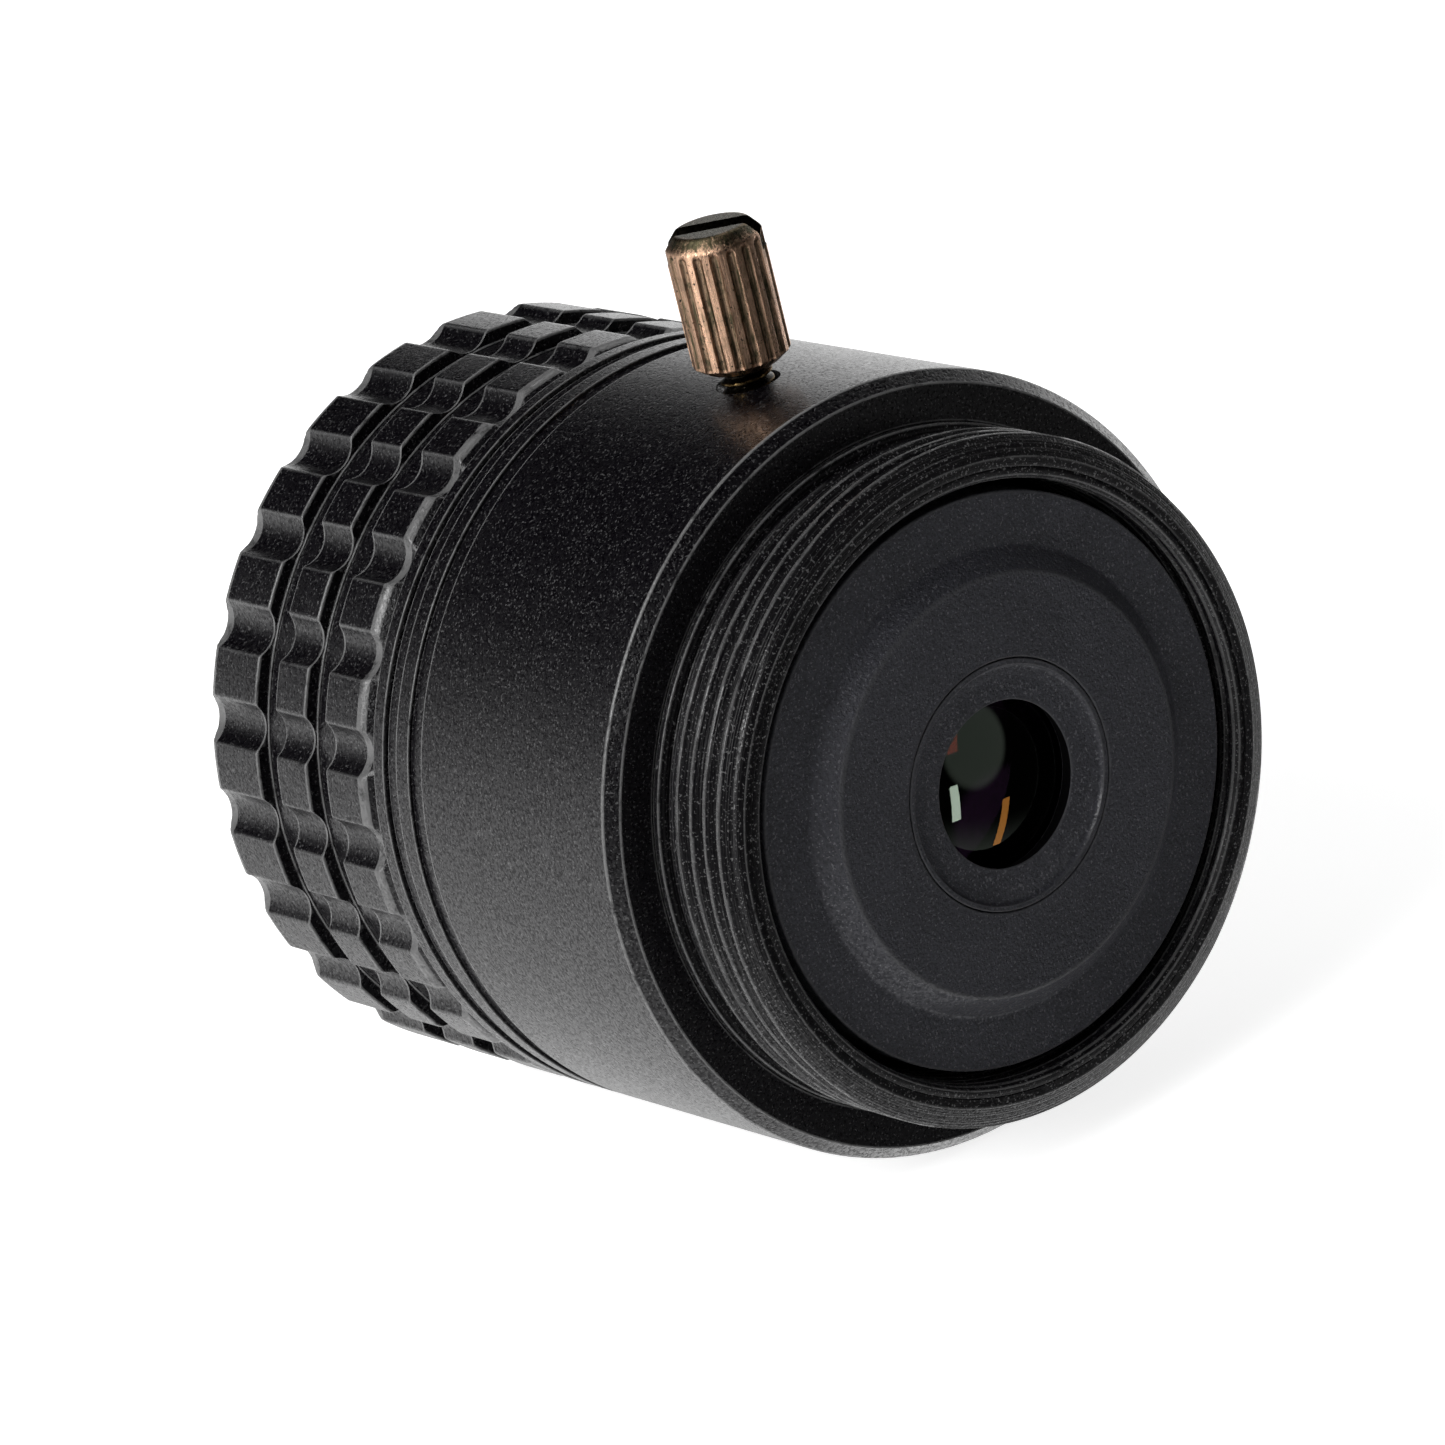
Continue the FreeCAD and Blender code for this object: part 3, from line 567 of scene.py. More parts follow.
def black_finish(name, colour, grain, roughness, bump, rubbed_and_lit, painted_glint_share, glint=0.0,
                 turning=0.0, shine=0.30, sheen=0.9):
    """Black anodised aluminium: grain, slow change of tone, bright specks that are painted glints,
    and rubbed edges that also carry a painted highlight.

    Grain is in cells per millimetre and bump in millimetres.  The rubbed amount says how much
    lighter the edges are, partly wear and partly a painted highlight; glint says how much lighter
    the specks are, which are painted glints.  The speck amount says how strongly those painted
    glints show, and turning how strongly the tool marks show, in the bump and as lighter streaks of
    painted sheen.  Shine is the body's gloss, and sheen that of the coat over the grain.
    """
    if name in bpy.data.materials:
        return bpy.data.materials[name]

    def shade(share, more=0.0):
        return [channel * share + more for channel in colour]

    material, tree, shader = new_material(name, Specular_IOR_Level=shine, Coat_Roughness=0.24)
    place = object_millimetres(tree)
    grains = place_group(tree, grain_group(), Vector=place, Grain=grain)
    worn_and_highlit = place_group(tree, worn_and_highlit_edge_group(), Vector=place, Edge=wear_and_highlight_layer(tree), Amount=0.75)
    tint = blend_colours(tree, grains["Cloud"], colour, shade(1.2))
    lift = blend_colours(tree, grains["Cloud"], shade(1.9), shade(2.1))
    body = blend_colours(tree, maths(tree, "MULTIPLY", grains["Mottle"], 0.6), tint, lift)
    # Painted glints: scattered lighter specks in the base colour stand in for light glinting off
    # the grain.
    painted_glints = maths(tree, "MULTIPLY", grains["Painted glint"], painted_glint_share)
    painted_glint_colour = blend_colours(tree, painted_glints, body, shade(2.0, glint))
    marks = place_group(tree, turning_group(), Vector=place, Marks=14.0)
    # Painted sheen: lighter streaks along the tool marks stand in for light caught by the turned
    # surface; the marks also go into the bump.
    painted_sheen_streaks = maths(tree, "MULTIPLY", span(tree, marks["Height"], 0.52, 0.72), turning * 0.5)
    with_painted_sheen = blend_colours(tree, painted_sheen_streaks, painted_glint_colour, shade(2.0, 0.14))
    # Lighter edges: partly wear, partly a painted highlight along the rounded edges.
    worn_and_lit_colour = blend_colours(tree, worn_and_highlit["Mask"], with_painted_sheen, shade(1.0, rubbed_and_lit))
    link(tree, worn_and_lit_colour, shader.inputs["Base Color"])
    tone = span(tree, grains["Height"], 0.3, 0.7, roughness - 0.08, roughness + 0.08)
    rough = maths(tree, "SUBTRACT", tone, maths(tree, "MULTIPLY", worn_and_highlit["Mask"], 0.12))
    link(tree, rough, shader.inputs["Roughness"])
    link(tree, maths(tree, "MULTIPLY", grains["Mottle"], sheen), shader.inputs["Coat Weight"])
    height = maths(tree, "ADD", grains["Height"], maths(tree, "MULTIPLY", marks["Height"], turning))
    add_bump(tree, shader, height, 1.0, bump)
    return material


def anodised():
    """Satin black with a fine grain, for the barrel and the focusing ring."""
    return black_finish("Satin black anodising", colours().anodised, 8.0, 0.31, 0.055,
                        rubbed_and_lit=0.17, painted_glint_share=0.9, glint=0.085)


def thread_black():
    """Smoother black, with turning marks whose lighter streaks are a painted sheen, for the mount
    ring.
    """
    return black_finish("Turned black anodising", colours().anodised, 9.0, 0.36, 0.045,
                        rubbed_and_lit=0.12, painted_glint_share=0.9, glint=0.17, turning=1.0)


def matt_black():
    """Charcoal matt black for the plate and the inside of the lens."""
    return black_finish("Matt charcoal anodising", colours().matt, 8.0, 0.50, 0.10,
                        rubbed_and_lit=0.03, painted_glint_share=0.8, glint=0.08, sheen=0.7)


def deep_black():
    """Dull black that takes the light out of the inside of the lens."""
    return black_finish("Dull inner black", (0.002, 0.0018, 0.0024), 9.0, 0.85, 0.01,
                        rubbed_and_lit=0.0, painted_glint_share=0.0, shine=0.06, sheen=0.0)


def brass():
    """Worn coppery brass: long scratches, dark tarnish where nothing rubs it, and darker towards
    the top of the head.
    """
    name = "Worn brass"
    if name in bpy.data.materials:
        return bpy.data.materials[name]
    material, tree, shader = new_material(name, Metallic=1.0)
    place = object_millimetres(tree)
    squeeze = tree.nodes.new("ShaderNodeMapping")
    squeeze.inputs["Scale"].default_value = (1.0, 1.0, 0.07)
    link(tree, place, squeeze.inputs["Vector"])
    scratches = noise(tree, squeeze.outputs[0], 9.0, detail=5.0, roughness=0.7)
    stain = noise(tree, place, 1.6, detail=5.0, roughness=0.65)
    pits = noise(tree, place, 9.0, detail=2.0)
    hidden = maths(tree, "SUBTRACT", 1.0, wear_and_highlight_layer(tree))
    parts = tree.nodes.new("ShaderNodeSeparateXYZ")
    link(tree, place, parts.inputs[0])
    # Darker towards the top of the head.
    top = span(tree, parts.outputs["Z"], HEAD_END - 0.55, HEAD_END - 0.2)
    film = maths(tree, "ADD", maths(tree, "MULTIPLY", hidden, 0.62),
                 maths(tree, "MULTIPLY", span(tree, scratches, 0.42, 0.66), 0.45))
    film = maths(tree, "ADD", film, maths(tree, "MULTIPLY", top, 0.75))
    film = maths(tree, "ADD", film, maths(tree, "MULTIPLY", span(tree, stain, 0.45, 0.7), 0.35),
                 clamp=True)
    tone = blend_colours(tree, film, colours().brass, colours().tarnish)
    link(tree, blend_colours(tree, span(tree, pits, 0.62, 0.72), tone, (0.02, 0.018, 0.015)),
         shader.inputs["Base Color"])
    link(tree, span(tree, scratches, 0.3, 0.7, 0.20, 0.42), shader.inputs["Roughness"])
    add_bump(tree, shader, scratches, 1.0, 0.03)
    return material


def shade_painted_brass():
    """Brass painted near black as shade for the screw's neck and slot, with painted highlights on
    the neck's thread crests.
    """
    name = "Blackened brass"
    if name in bpy.data.materials:
        return bpy.data.materials[name]
    material, tree, shader = new_material(name, Metallic=1.0)
    place = object_millimetres(tree)
    worn_and_highlit = place_group(tree, worn_and_highlit_edge_group(), Vector=place, Edge=wear_and_highlight_layer(tree), Amount=0.8)
    # Near-black is painted shade; the lighter brass on the edge mask is a painted highlight on the
    # thread crests.
    link(tree, blend_colours(tree, worn_and_highlit["Mask"], (0.022, 0.019, 0.014), (0.30, 0.20, 0.08)),
         shader.inputs["Base Color"])
    fine = noise(tree, place, 10.0, detail=3.0)
    link(tree, span(tree, fine, 0.3, 0.7, 0.22, 0.40), shader.inputs["Roughness"])
    add_bump(tree, shader, fine, 0.6, 0.01)
    return material


def dark_steel():
    """Blackened steel of the small screws and pins."""
    name = "Blackened steel"
    if name in bpy.data.materials:
        return bpy.data.materials[name]
    material, tree, shader = new_material(name, Metallic=1.0)
    place = object_millimetres(tree)
    fine = noise(tree, place, 14.0, detail=3.0)
    link(tree, blend_colours(tree, fine, (0.03, 0.03, 0.033), (0.09, 0.088, 0.085)),
         shader.inputs["Base Color"])
    link(tree, span(tree, fine, 0.3, 0.7, 0.28, 0.5), shader.inputs["Roughness"])
    add_bump(tree, shader, fine, 0.6, 0.006)
    return material


def nylon():
    """Moulded nylon of the screw's pad."""
    name = "Moulded nylon"
    if name in bpy.data.materials:
        return bpy.data.materials[name]
    material, tree, shader = new_material(name, Subsurface_Weight=0.2)
    place = object_millimetres(tree)
    fine = noise(tree, place, 6.0, detail=3.0)
    link(tree, blend_colours(tree, fine, (0.68, 0.66, 0.6), (0.8, 0.78, 0.72)),
         shader.inputs["Base Color"])
    link(tree, span(tree, fine, 0.3, 0.7, 0.45, 0.6), shader.inputs["Roughness"])
    add_bump(tree, shader, fine, 0.4, 0.01)
    return material


def coated_glass(name, tint, mirror):
    """Lens glass with a coloured reflection and a trace of dust."""
    if name in bpy.data.materials:
        return bpy.data.materials[name]
    material, tree, shader = new_material(
        name, Metallic=0.0, Transmission_Weight=1.0, IOR=1.6, Specular_Tint=(*tint, 1.0),
        Specular_IOR_Level=mirror)
    place = object_millimetres(tree)
    dust = span(tree, noise(tree, place, 2.0, detail=5.0, roughness=0.7), 0.55, 0.85)
    link(tree, blend_colours(tree, dust, (0.24, 0.09, 0.28), (0.23, 0.12, 0.25)),
         shader.inputs["Base Color"])
    link(tree, maths(tree, "MULTIPLY", dust, 0.01), shader.inputs["Roughness"])
    return material


# ------------------------------------------------------------------ pieces


def thread_wave(angles, place, pitch):
    """Height of a right-handed thread from root (0) to crest (1), at one place."""
    phase = (place / pitch - angles / (2 * math.pi)) % 1.0
    rise = 1.0 - np.abs(2.0 * phase - 1.0)
    return np.clip((rise - 0.14) / 0.68, 0.0, 1.0)


def fill_places(points, start, end, step):
    """Divide an outline's straight runs between two places, so that a thread can follow."""
    dense = []
    for index, point in enumerate(points):
        after = points[(index + 1) % len(points)]
        dense.append(point)
        length = after[1] - point[1]
        inside = min(point[1], after[1]) >= start and max(point[1], after[1]) <= end
        if inside and abs(length) > 1.5 * step:
            count = int(abs(length) / step)
            for number in range(1, count):
                share = number / count
                dense.append(tuple(a + (b - a) * share for a, b in zip(point, after)))
    return dense


class LENS_OT_barrel(bpy.types.Operator):
    """Main barrel: seat, rear chamfer, two fine grooves, nose and the screw's hole"""

    bl_idname = "lens.barrel"
    bl_label = "Main barrel"

    def execute(self, context):
        size = sizes()
        outer = BARREL_RADIUS
        floor = outer - size.groove_depth
        seat = THREAD_RADIUS + 1.45
        pilot = THREAD_RADIUS - 0.5
        groove_width = 0.78
        middle = RING_START - 2.37
        joint = RING_START - groove_width
        corners = [
            (THREAD_RADIUS + 0.05, 0.0), (seat, 0.0, 0.08), (outer, outer - seat, 0.12),
            (outer, middle, 0.09), (floor, middle + 0.05, 0.03),
            (floor, middle + groove_width, 0.02), (outer, middle + groove_width, 0.035),
            (outer, joint, 0.09), (floor, joint + 0.05, 0.03),
            (floor, RING_START - 0.07), (12.9, RING_START - 0.07), (12.9, NOSE_END - 1.18),
            (12.4, NOSE_END - 1.18), (12.4, NOSE_END), (11.5, NOSE_END), (11.5, PILOT_END),
            (pilot, PILOT_END), (pilot, 0.55),
        ]
        points = rounded_outline(corners, size.edge_round)
        barrel = turned("barrel", points, size.segments)
        mouth = [(0.0, 10.5, 0), (1.02, 10.5, 0), (1.02, outer - 0.28, 0), (1.2, outer - 0.12, 0),
                 (1.34, outer + 0.6, 0), (0.0, outer + 0.6, 0)]
        cutter = turned("screw_hole", mouth, 96, closed=False, along="Z",
                        centre=(0, SCREW_PLACE, 0))
        cut_out(barrel, cutter)
        for angle in (90, 180):
            radial = Matrix.Rotation(math.radians(angle), 4, "Y")
            bore = [(0.0, 12.0, 0), (0.6, 12.0, 0), (0.6, outer + 1, 0), (0.0, outer + 1, 0)]
            cutter = turned("grub_hole", bore, 48, closed=False, along="Z")
            cutter.data.transform(radial)
            cutter.data.transform(Matrix.Translation((0, 1.6 * MM, 0)))
            cut_out(barrel, cutter)
        sharpen(barrel, 40)
        finish_piece(barrel, "barrel", anodised(), ["main_barrel"])
        return {"FINISHED"}


class LENS_OT_mount_ring(bpy.types.Operator):
    """Mount ring: collar, relief groove, cut thread, rounded lip and ribbed inside"""

    bl_idname = "lens.mount_ring"
    bl_label = "Mount ring"

    def execute(self, context):
        size = sizes()
        crest = THREAD_RADIUS
        root = crest - size.mount_thread_depth
        relief = crest - 0.5
        bore = crest - 1.6
        end = LIP_PLACE
        start = -1.3
        chamfer_start = -3.98
        corners = [
            (bore, end + 0.2, 0.12), (bore + 0.16, end, 0.05),
            (bore + 0.42, end, 0.0), (bore + 0.45, end + 0.03, 0.0), (bore + 0.48, end, 0.0),
            (crest - 0.78, end, 0.05), (crest, chamfer_start, 0.0), (crest, start, 0.0),
            (relief, start + 0.06, 0.04), (relief, -0.3, 0.04), (crest, -0.3, 0.06),
            (crest, 0.0, 0.02), (relief, 0.0, 0.0), (relief, PILOT_END, 0.05),
            (bore + 0.1, PILOT_END, 0.05),
        ]
        for number in range(6):
            rib = -0.2 - 0.62 * number
            corners += [(bore + 0.1, rib, 0.03), (bore, rib - 0.12, 0.03),
                        (bore, rib - 0.3, 0.03), (bore + 0.1, rib - 0.42, 0.03)]
        points = rounded_outline(corners, size.edge_round, steps=3)
        points = fill_places(points, chamfer_start - 0.4, start + 0.1, size.mount_pitch / 18)

        def cut_thread(angles, radius, place):
            if radius < relief - 0.01 or place > start + 0.05 or place < end + 0.01:
                return np.full(len(angles), radius), np.zeros(len(angles))
            wave = thread_wave(angles, place, size.mount_pitch)
            cut = root + (crest - root) * wave
            # Thread crests are marked for wear and a painted highlight.
            worn_and_highlit = np.where((wave > 0.95) & (cut <= radius + 1e-6), 0.7, 0.0)
            return np.minimum(cut, radius), worn_and_highlit

        ring = turned("mount_ring_threaded", points, size.segments * 2, cut_thread)
        sharpen(ring, 50)
        finish_piece(ring, "barrel", thread_black(), ["mount_ring"])
        return {"FINISHED"}


def ledge(floor, place):
    """Corners of the fine ledge that the grooving tool leaves at the foot of a groove's wall."""
    return ((floor, place - 0.11, 0.02), (floor + 0.10, place - 0.10, 0.05),
            (floor + 0.10, place, 0.02))


class LENS_OT_focus_grip(bpy.types.Operator):
    """Focusing ring: rim, three rows of scalloped lobes and the turned grooves"""

    bl_idname = "lens.focus_grip"
    bl_label = "Focusing ring"

    def execute(self, context):
        size = sizes()
        outer = BARREL_RADIUS
        bore = TRIM_RADIUS
        rim_end = RING_START + 0.63
        lobes_start = rim_end + 0.85
        first = RING_START + 3.78
        second = RING_START + 7.03
        width = 1.3
        cut = outer - 0.62
        entry = outer - 0.47
        corners = [
            (12.94, RING_START), (outer, RING_START, 0.035), (outer, rim_end, 0.035),
            (entry, rim_end, 0.03), (entry, rim_end + 0.35, 0.05),
            (outer, lobes_start, 0.55), (outer, first, 0.07), (cut, first, 0.04),
            *ledge(cut, first + width), (outer, first + width, 0.08),
            (outer, second, 0.05), (cut, second, 0.04), *ledge(cut, second + width),
            (outer, second + width, 0.08), (outer, RING_END, 0.42),
            (bore, RING_END), (bore, NOSE_END - 1.2), (12.94, NOSE_END - 1.2),
        ]
        points = rounded_outline(corners, size.edge_round, steps=4)
        points = fill_places(points, lobes_start, RING_END, 0.4)
        pitch = 2 * math.pi / size.lobes

        def scallop(angles, radius, place):
            if radius < cut - 0.02 or place < rim_end + 0.01:
                return np.full(len(angles), radius), np.zeros(len(angles))
            offset = (angles - size.lobe_turn) % pitch - pitch / 2
            across = size.scallop_centre * np.sin(offset)
            inside = np.maximum(size.scallop_radius ** 2 - across ** 2, 0.0)
            valley = size.scallop_centre * np.cos(offset) - np.sqrt(inside)
            valley = np.where(np.abs(across) < size.scallop_radius, valley, radius + 1)
            soft = 0.11
            share = np.clip(0.5 + 0.5 * (valley - radius) / soft, 0, 1)
            radii = valley * (1 - share) + radius * share - soft * share * (1 - share)
            # The lobes' top edges are marked for wear and a painted highlight.
            brink = np.exp(-((np.abs(radii - outer) - 0.02) / 0.03) ** 2)
            brink = brink * (share > 0.02) * (share < 0.98)
            return radii, 0.6 * brink

        segments = size.lobes * 44
        grip = turned("focus_grip_ring", points, segments, scallop)
        sharpen(grip, 45)
        finish_piece(grip, "focus_ring", anodised(), ["focus_grip"])
        return {"FINISHED"}


class LENS_OT_front_trim(bpy.types.Operator):
    """Front trim ring with its filter thread"""

    bl_idname = "lens.front_trim"
    bl_label = "Front trim ring"

    def execute(self, context):
        size = sizes()
        bore = TRIM_RADIUS - 0.75
        depth = 0.25
        inner = TRIM_RADIUS - 1.6
        corners = [
            (inner, TRIM_START), (TRIM_RADIUS, TRIM_START), (TRIM_RADIUS, TRIM_END),
            (bore + 0.25, TRIM_END, 0.03), (bore, TRIM_END - 0.25, 0.0),
            (bore, TRIM_END - 1.85, 0.0), (inner, TRIM_END - 1.85, 0.06),
        ]
        points = rounded_outline(corners, size.edge_round)
        points = fill_places(points, TRIM_END - 1.9, TRIM_END - 0.1, size.filter_pitch / 12)

        def cut_thread(angles, radius, place):
            plain = radius < bore - 0.01 or radius > bore + 0.3
            if plain or place > TRIM_END - 0.02 or place < TRIM_END - 1.84:
                return np.full(len(angles), radius), np.zeros(len(angles))
            wave = thread_wave(angles, place, size.filter_pitch)
            # The thread crests are marked for wear and a painted highlight.
            return np.maximum(bore + depth * (1 - wave), radius), 0.5 * (wave > 0.95)

        ring = turned("front_trim", points, size.segments * 2, cut_thread)
        sharpen(ring, 50)
        finish_piece(ring, "focus_ring", thread_black(), ["front_trim_ring"])
        return {"FINISHED"}


class LENS_OT_rear_plate(bpy.types.Operator):
    """Rear plate with its shallow conical boss, and the ring that holds the window"""

    bl_idname = "lens.rear_plate"
    bl_label = "Rear plate"

    def execute(self, context):
        size = sizes()
        outer = PLATE_RADIUS
        plate = BOSS_PLACE + 0.82
        seam = WINDOW_RING_RADIUS
        corners = [
            (seam, BOSS_PLACE, 0.06), (7.8, BOSS_PLACE, 0.22), (8.65, plate, 0.3),
            (outer, plate, 0.09), (outer, CELL_NECK_START, 0.03),
            (9.3, CELL_NECK_START), (9.3, PLATE_SHANK_END), (seam, PLATE_SHANK_END),
        ]
        points = rounded_outline(corners, size.edge_round, 5)
        boss = turned("rear_plate_boss", points, size.segments)
        finish_piece(boss, "lens_cell", matt_black(), ["rear_plate"])
        floor = BOSS_PLACE + 0.24
        corners = [
            (3.1, floor + 0.02, 0.04), (3.95, floor, 0.5), (4.36, floor - 0.09, 0.2),
            (4.44, BOSS_PLACE, 0.03), (seam - 0.04, BOSS_PLACE, 0.05),
            (seam - 0.04, WINDOW_RING_END, 0.02), (3.35, WINDOW_RING_END, 0.02),
            (3.1, floor + 0.12, 0.02),
        ]
        ring = turned("window_ring", rounded_outline(corners, 0.03, 5), size.segments)
        finish_piece(ring, "lens_cell", matt_black(), ["rear_retaining_ring"])

        def inside(place, radius):
            return radius < 3.32 and place.y > floor + 0.07

        second_finish(ring, deep_black(), inside)
        return {"FINISHED"}


class LENS_OT_glass(bpy.types.Operator):
    """Rear and front lens elements with finely ground rims"""

    bl_idname = "lens.glass"
    bl_label = "Glass"

    def execute(self, context):
        points = lens_points(REAR_LENS_RADIUS, REAR_LENS_VERTEX, 9.0, REAR_LENS_FRONT, 0)
        rear = turned("rear_lens_glass", points, 192, closed=False)
        plum = coated_glass("Plum coated glass", (0.80, 1.0, 0.80), 0.36)
        finish_piece(rear, "lens_cell", plum, ["rear_lens"])
        points = lens_points(FRONT_LENS_RADIUS, FRONT_LENS_REAR, 0, FRONT_LENS_VERTEX, 20.0)
        front = turned("front_lens_glass", points, 256, closed=False)
        green = coated_glass("Green coated glass", (0.45, 0.80, 0.55), 0.2)
        finish_piece(front, "lens_cell", green, ["front_lens"])
        for piece in (rear, front):
            sharpen(piece, 25)
        inner = coated_glass("Green coated inner glass", (0.5, 0.8, 0.55), 0.08)
        for node in ("field_lens", "doublet_flint", "doublet_crown"):
            cover(node, inner)
        return {"FINISHED"}


class LENS_OT_front_cell(bpy.types.Operator):
    """Front of the lens cell: its tube, and the ring that holds the front lens"""

    bl_idname = "lens.front_cell"
    bl_label = "Front of the lens cell"

    def execute(self, context):
        size = sizes()
        corners = [
            (FRONT_RING_RADIUS - 0.8, FRONT_RING_START), (FRONT_RING_RADIUS, FRONT_RING_START),
            (FRONT_RING_RADIUS, CELL_END), (FRONT_RING_RADIUS - 0.4, CELL_END),
        ]
        for number in range(4):
            rib = CELL_END - 0.35 - 0.55 * number
            radius = FRONT_RING_RADIUS - 0.5 - 0.07 * number
            corners += [(radius, rib, 0.03), (radius + 0.12, rib - 0.1, 0.03),
                        (radius + 0.12, rib - 0.3, 0.03), (radius - 0.05, rib - 0.4, 0.03)]
        points = rounded_outline(corners, size.edge_round, 3)
        ring = turned("front_lens_ring", points, size.segments)
        cut_slot(ring, 0.9, 0.9, 2.4 * FRONT_RING_RADIUS, (0, CELL_END, 0))
        sharpen(ring, 40)
        finish_piece(ring, "lens_cell", thread_black(), ["front_retaining_ring"])
        return {"FINISHED"}


class LENS_OT_lock_screw(bpy.types.Operator):
    """Brass lock screw: threaded neck, fluted head, chamfers and the driver slot"""

    bl_idname = "lens.lock_screw"
    bl_label = "Lock screw"

    def execute(self, context):
        size = sizes()
        outer = HEAD_RADIUS
        neck = 0.99
        corners = [
            (0.0, SCREW_FOOT, 0.0), (neck - 0.15, SCREW_FOOT), (neck, SCREW_FOOT + 0.15, 0.0),
            (neck, HEAD_START - 0.12, 0.0), (neck - 0.12, HEAD_START - 0.1, 0.0),
            (neck - 0.12, HEAD_START, 0.0),
            (outer - 0.45, HEAD_START, 0.06), (outer, HEAD_START + 0.32, 0.08),
            (outer, HEAD_END - 0.5, 0.35), (outer - 0.42, HEAD_END, 0.22), (0.0, HEAD_END, 0.0),
        ]
        points = rounded_outline(corners, size.edge_round, 4)
        points = fill_places(points, SCREW_FOOT, HEAD_START - 0.1, size.screw_pitch / 12)
        points = fill_places(points, HEAD_START, HEAD_END, 0.08)
        pitch = 2 * math.pi / size.flutes
        cutter = 0.19
        depth = 0.14

        def shape(angles, radius, place):
            flat = np.full(len(angles), radius)
            if radius < 0.3:
                return flat, np.zeros(len(angles))
            if place < HEAD_START - 0.11:
                wave = thread_wave(angles, place, size.screw_pitch)
                # The crests of the neck thread are marked for a painted highlight.
                return np.minimum(neck - 0.22 * (1 - wave), radius), 0.6 * (wave > 0.9)
            top = max(0.0, place - (HEAD_END - 0.85)) / 0.33
            foot = max(0.0, HEAD_START + 0.3 - place) / 0.4
            here = depth * (1 - min(1.0, top) ** 2) * (1 - 0.6 * min(1.0, foot))
            offset = (angles % pitch - pitch / 2) * outer
            half = math.sqrt(max(1e-9, 2 * cutter * max(here, 1e-4) - here * here))
            bottom = outer - here + (cutter - np.sqrt(np.maximum(cutter ** 2 - offset ** 2, 0)))
            bottom = np.where(np.abs(offset) < half, bottom, radius + 1)
            radii = np.minimum(bottom, radius)
            ridge = np.clip((np.abs(offset) - 0.7 * half) / 0.06, 0, 1)
            return radii, ridge

        screw = turned("lock_screw_brass", points, size.flutes * 24, shape, closed=False, along="Z",
                       centre=(0, SCREW_PLACE, 0))
        cut_slot(screw, SLOT_WIDTH, 2.2, 6, (0, SCREW_PLACE, HEAD_END), math.radians(-45))
        sharpen(screw, 32)
        finish_piece(screw, "lock_screw_body", brass(), ["lock_screw"])

        # The neck, down in its hole, and the inside of the slot get brass painted near black as
        # shade.
        def in_painted_shade(place, _radius):
            across = (place.x + place.y - SCREW_PLACE) / math.sqrt(2)
            in_slot = place.z > HEAD_END - 1.12 and abs(across) < SLOT_WIDTH / 2 + 0.0001
            return in_slot or place.z < HEAD_START - 0.01

        second_finish(screw, shade_painted_brass(), in_painted_shade)
        return {"FINISHED"}


class LENS_OT_inner_pieces(bpy.types.Operator):
    """Finishes of the inner pieces whose CAD shapes show as they are"""

    bl_idname = "lens.inner_pieces"
    bl_label = "Inner pieces"

    def execute(self, context):
        for node in ("focus_carrier", "rear_spacer", "inner_retaining_ring", "aperture_stop",
                     "stop_spacer", "front_spacer", "nose_retaining_ring"):
            cover(node, deep_black())
        for node in ("friction_washer", "helicoid_sleeve"):
            cover(node, brass())
        for node in ("mount_grub_screws", "ring_grub_screws", "stop_pin", "guide_pin"):
            cover(node, dark_steel())
        cover("lock_pad", nylon())
        return {"FINISHED"}


# ------------------------------------------------------------------ stage


def strip_light(name, place, width, height, power, colour=(1, 1, 1)):
    """A narrow lamp that faces the origin and lights the rear glass only."""
    lamp = bpy.data.lights.new(name, "AREA")
    lamp.shape = "RECTANGLE"
    lamp.size = width
    lamp.size_y = height
    lamp.energy = power
    lamp.color = colour
    piece = bpy.data.objects.new(name, lamp)
    piece.location = place
    piece.rotation_euler = Vector(place).to_track_quat("Z", "Y").to_euler()
    piece.visible_camera = False
    lit = bpy.data.collections.new(name + "_lit")
    glass = bpy.data.objects.get("rear_lens_glass")
    if glass:
        lit.objects.link(glass)
    piece.light_linking.receiver_collection = lit
    bpy.context.scene.collection.objects.link(piece)


def pale_floor(low):
    """A wide pale floor just under the object, which glows a little for the camera only, like a
    light table.
    """
    mesh = bpy.data.meshes.new("floor")
    wide = 3.0
    corners = [(-wide, -wide, low), (wide, -wide, low), (wide, wide, low), (-wide, wide, low)]
    mesh.from_pydata(corners, [], [(0, 1, 2, 3)])
    floor = bpy.data.objects.new("floor", mesh)
    material, tree, shader = new_material("Pale floor", Roughness=0.9)
    shader.inputs["Emission Color"].default_value = (1, 1, 1, 1)
    shader.inputs["Specular IOR Level"].default_value = 0.0
    place = object_millimetres(tree)
    slow = noise(tree, place, 0.01, detail=2.0)
    link(tree, blend_colours(tree, slow, (0.80, 0.80, 0.80), (0.82, 0.82, 0.82)),
         shader.inputs["Base Color"])
    path = tree.nodes.new("ShaderNodeLightPath")
    link(tree, maths(tree, "MULTIPLY", path.outputs["Is Camera Ray"], 0.80),
         shader.inputs["Emission Strength"])
    mesh.materials.append(material)
    bpy.context.scene.collection.objects.link(floor)
    floor.visible_glossy = False
    floor.visible_transmission = False
    floor.visible_shadow = False


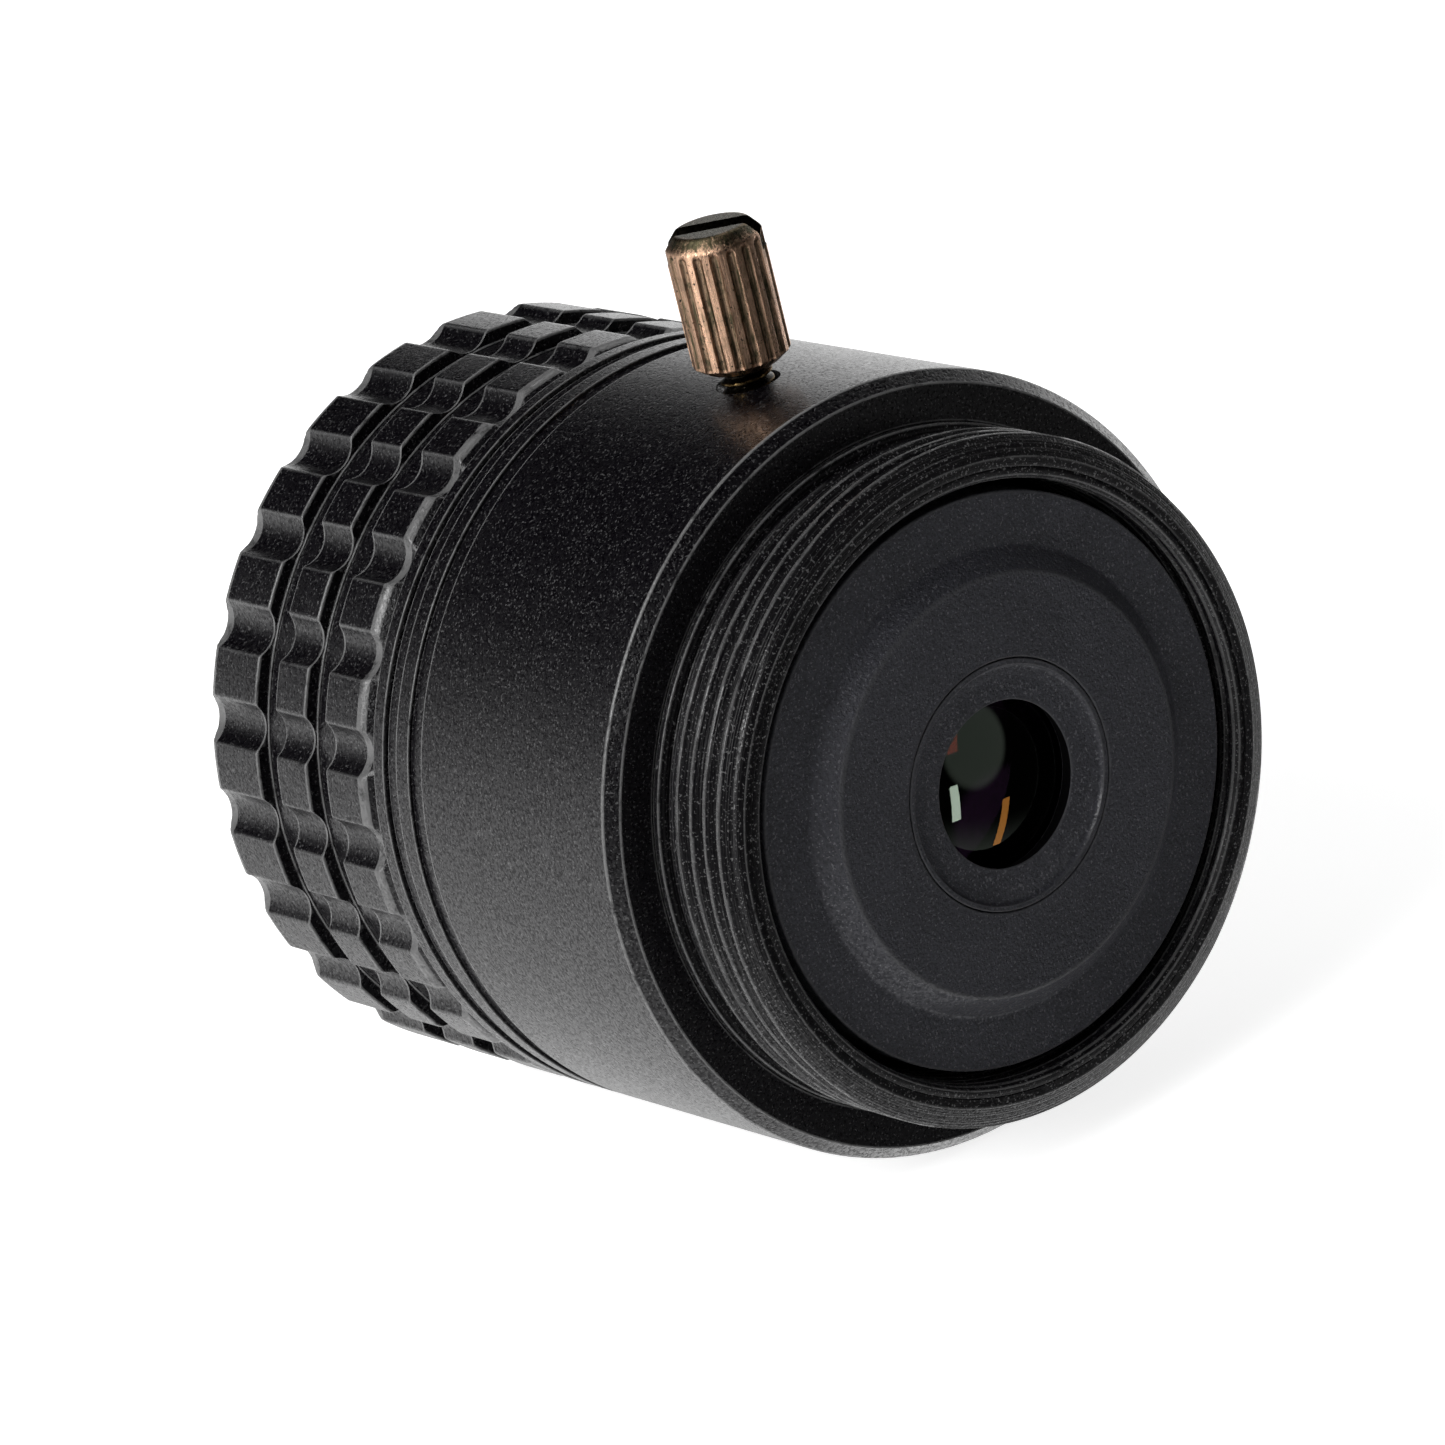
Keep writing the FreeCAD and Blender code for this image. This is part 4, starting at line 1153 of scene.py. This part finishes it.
# Direction of each patch, its inner and outer angle in degrees, and its strength.  The last one is
# negative: it leaves a bright band of the one before it, which lights the turned edges.
SOFT_BOXES = (
    ((-0.45, 0.35, -1.0), 46, 87, 0.92),
    ((0.80, 0.60, 0.0), 12, 34, 1.2),
    ((0.44, -0.90, -0.03), 15, 19, 0.38),
    ((-0.80, -0.06, 0.58), 8, 24, 6.5),
    ((0.0, 1.0, 0.0), 80, 90, 2.2),
    ((0.0, 1.0, 0.0), 70, 78, -2.2),
)
AMBIENT = 0.005


def soft_box(tree, direction, towards, inner, outer, strength):
    """Brightness of a soft round patch of the surroundings, between two angles in degrees."""
    dot = tree.nodes.new("ShaderNodeVectorMath")
    dot.operation = "DOT_PRODUCT"
    dot.inputs[1].default_value = Vector(towards).normalized()
    link(tree, direction, dot.inputs[0])
    patch = span(tree, dot.outputs["Value"], math.cos(math.radians(outer)),
                 math.cos(math.radians(inner)))
    return maths(tree, "MULTIPLY", patch, strength)


def surroundings():
    """White to look at, but with a dark side and soft bright patches in reflections."""
    world = bpy.data.worlds.new("Studio")
    bpy.context.scene.world = world
    world.use_nodes = True
    tree = world.node_tree
    background = tree.nodes["Background"]
    place = tree.nodes.new("ShaderNodeTexCoord")
    direction = place.outputs["Generated"]
    level = None
    for patch in SOFT_BOXES:
        light = soft_box(tree, direction, *patch)
        level = light if level is None else maths(tree, "ADD", level, light)
    level = maths(tree, "ADD", level, AMBIENT)
    path = tree.nodes.new("ShaderNodeLightPath")
    brightness = tree.nodes.new("ShaderNodeMix")
    brightness.data_type = "FLOAT"
    link(tree, path.outputs["Is Camera Ray"], brightness.inputs["Factor"])
    link(tree, level, brightness.inputs["A"])
    brightness.inputs["B"].default_value = 1.0
    link(tree, brightness.outputs["Result"], background.inputs["Strength"])
    background.inputs["Color"].default_value = (1, 1, 1, 1)


# Where the camera stands before it is turned about the optical axis, and which way it is held.
CAMERA_PLACE = Vector((-161.12, -215.89, 86.75)) * MM
CAMERA_RIGHT = Vector((0.77489, -0.60988, -0.16612))
CAMERA_UP = Vector((0.31062, 0.13852, 0.94039))
CAMERA_TURN = math.radians(4.6)


class LENS_OT_stage(bpy.types.Operator):
    """Floor, soft lights, pale surroundings and the camera"""

    bl_idname = "lens.stage"
    bl_label = "Stage"

    def execute(self, context):
        pale_floor(CAD_BOX[0][2])
        surroundings()
        strip_light("white_strip", (0.064, -0.368, -0.142), 0.030, 0.110, 0.07)
        strip_light("amber_strip", (0.206, -0.249, -0.235), 0.028, 0.120, 0.04, (1.0, 0.34, 0.08))
        context.scene.view_settings.view_transform = "Standard"
        camera = bpy.data.cameras.new("camera")
        camera.sensor_width = 36.0
        camera.lens = 192.8
        camera.clip_start = 0.01
        camera.clip_end = 20.0
        viewer = bpy.data.objects.new("camera", camera)
        back = CAMERA_RIGHT.cross(CAMERA_UP).normalized()
        up = back.cross(CAMERA_RIGHT).normalized()
        held = Matrix((CAMERA_RIGHT.normalized(), up, back)).transposed().to_4x4()
        stand = Matrix.Translation(CAMERA_PLACE) @ held
        viewer.matrix_world = Matrix.Rotation(CAMERA_TURN, 4, "Y") @ stand
        bpy.context.scene.collection.objects.link(viewer)
        bpy.context.scene.camera = viewer
        return {"FINISHED"}


class LENS_PT_panel(bpy.types.Panel):
    """Buttons for each piece"""

    bl_idname = "LENS_PT_panel"
    bl_label = "Threaded focusing lens"
    bl_space_type = "VIEW_3D"
    bl_region_type = "UI"
    bl_category = "Lens"

    def draw(self, context):
        for operator in OPERATORS:
            self.layout.operator(operator.bl_idname)


OPERATORS = (
    LENS_OT_barrel,
    LENS_OT_mount_ring,
    LENS_OT_focus_grip,
    LENS_OT_front_trim,
    LENS_OT_rear_plate,
    LENS_OT_glass,
    LENS_OT_front_cell,
    LENS_OT_lock_screw,
    LENS_OT_inner_pieces,
    LENS_OT_stage,
)
CLASSES = (LensSizes, LensColours, *OPERATORS, LENS_PT_panel)


def register():
    """Add the settings, the operators and the panel."""
    for item in CLASSES:
        bpy.utils.register_class(item)
    bpy.types.Scene.lens_sizes = PointerProperty(type=LensSizes)
    bpy.types.Scene.lens_colours = PointerProperty(type=LensColours)


def unregister():
    """Take them away again."""
    del bpy.types.Scene.lens_colours
    del bpy.types.Scene.lens_sizes
    for item in reversed(CLASSES):
        bpy.utils.unregister_class(item)


def main():
    """Build everything."""
    register()
    for operator in OPERATORS:
        group, name = operator.bl_idname.split(".")
        getattr(getattr(bpy.ops, group), name)()


if __name__ == "__main__":
    main()
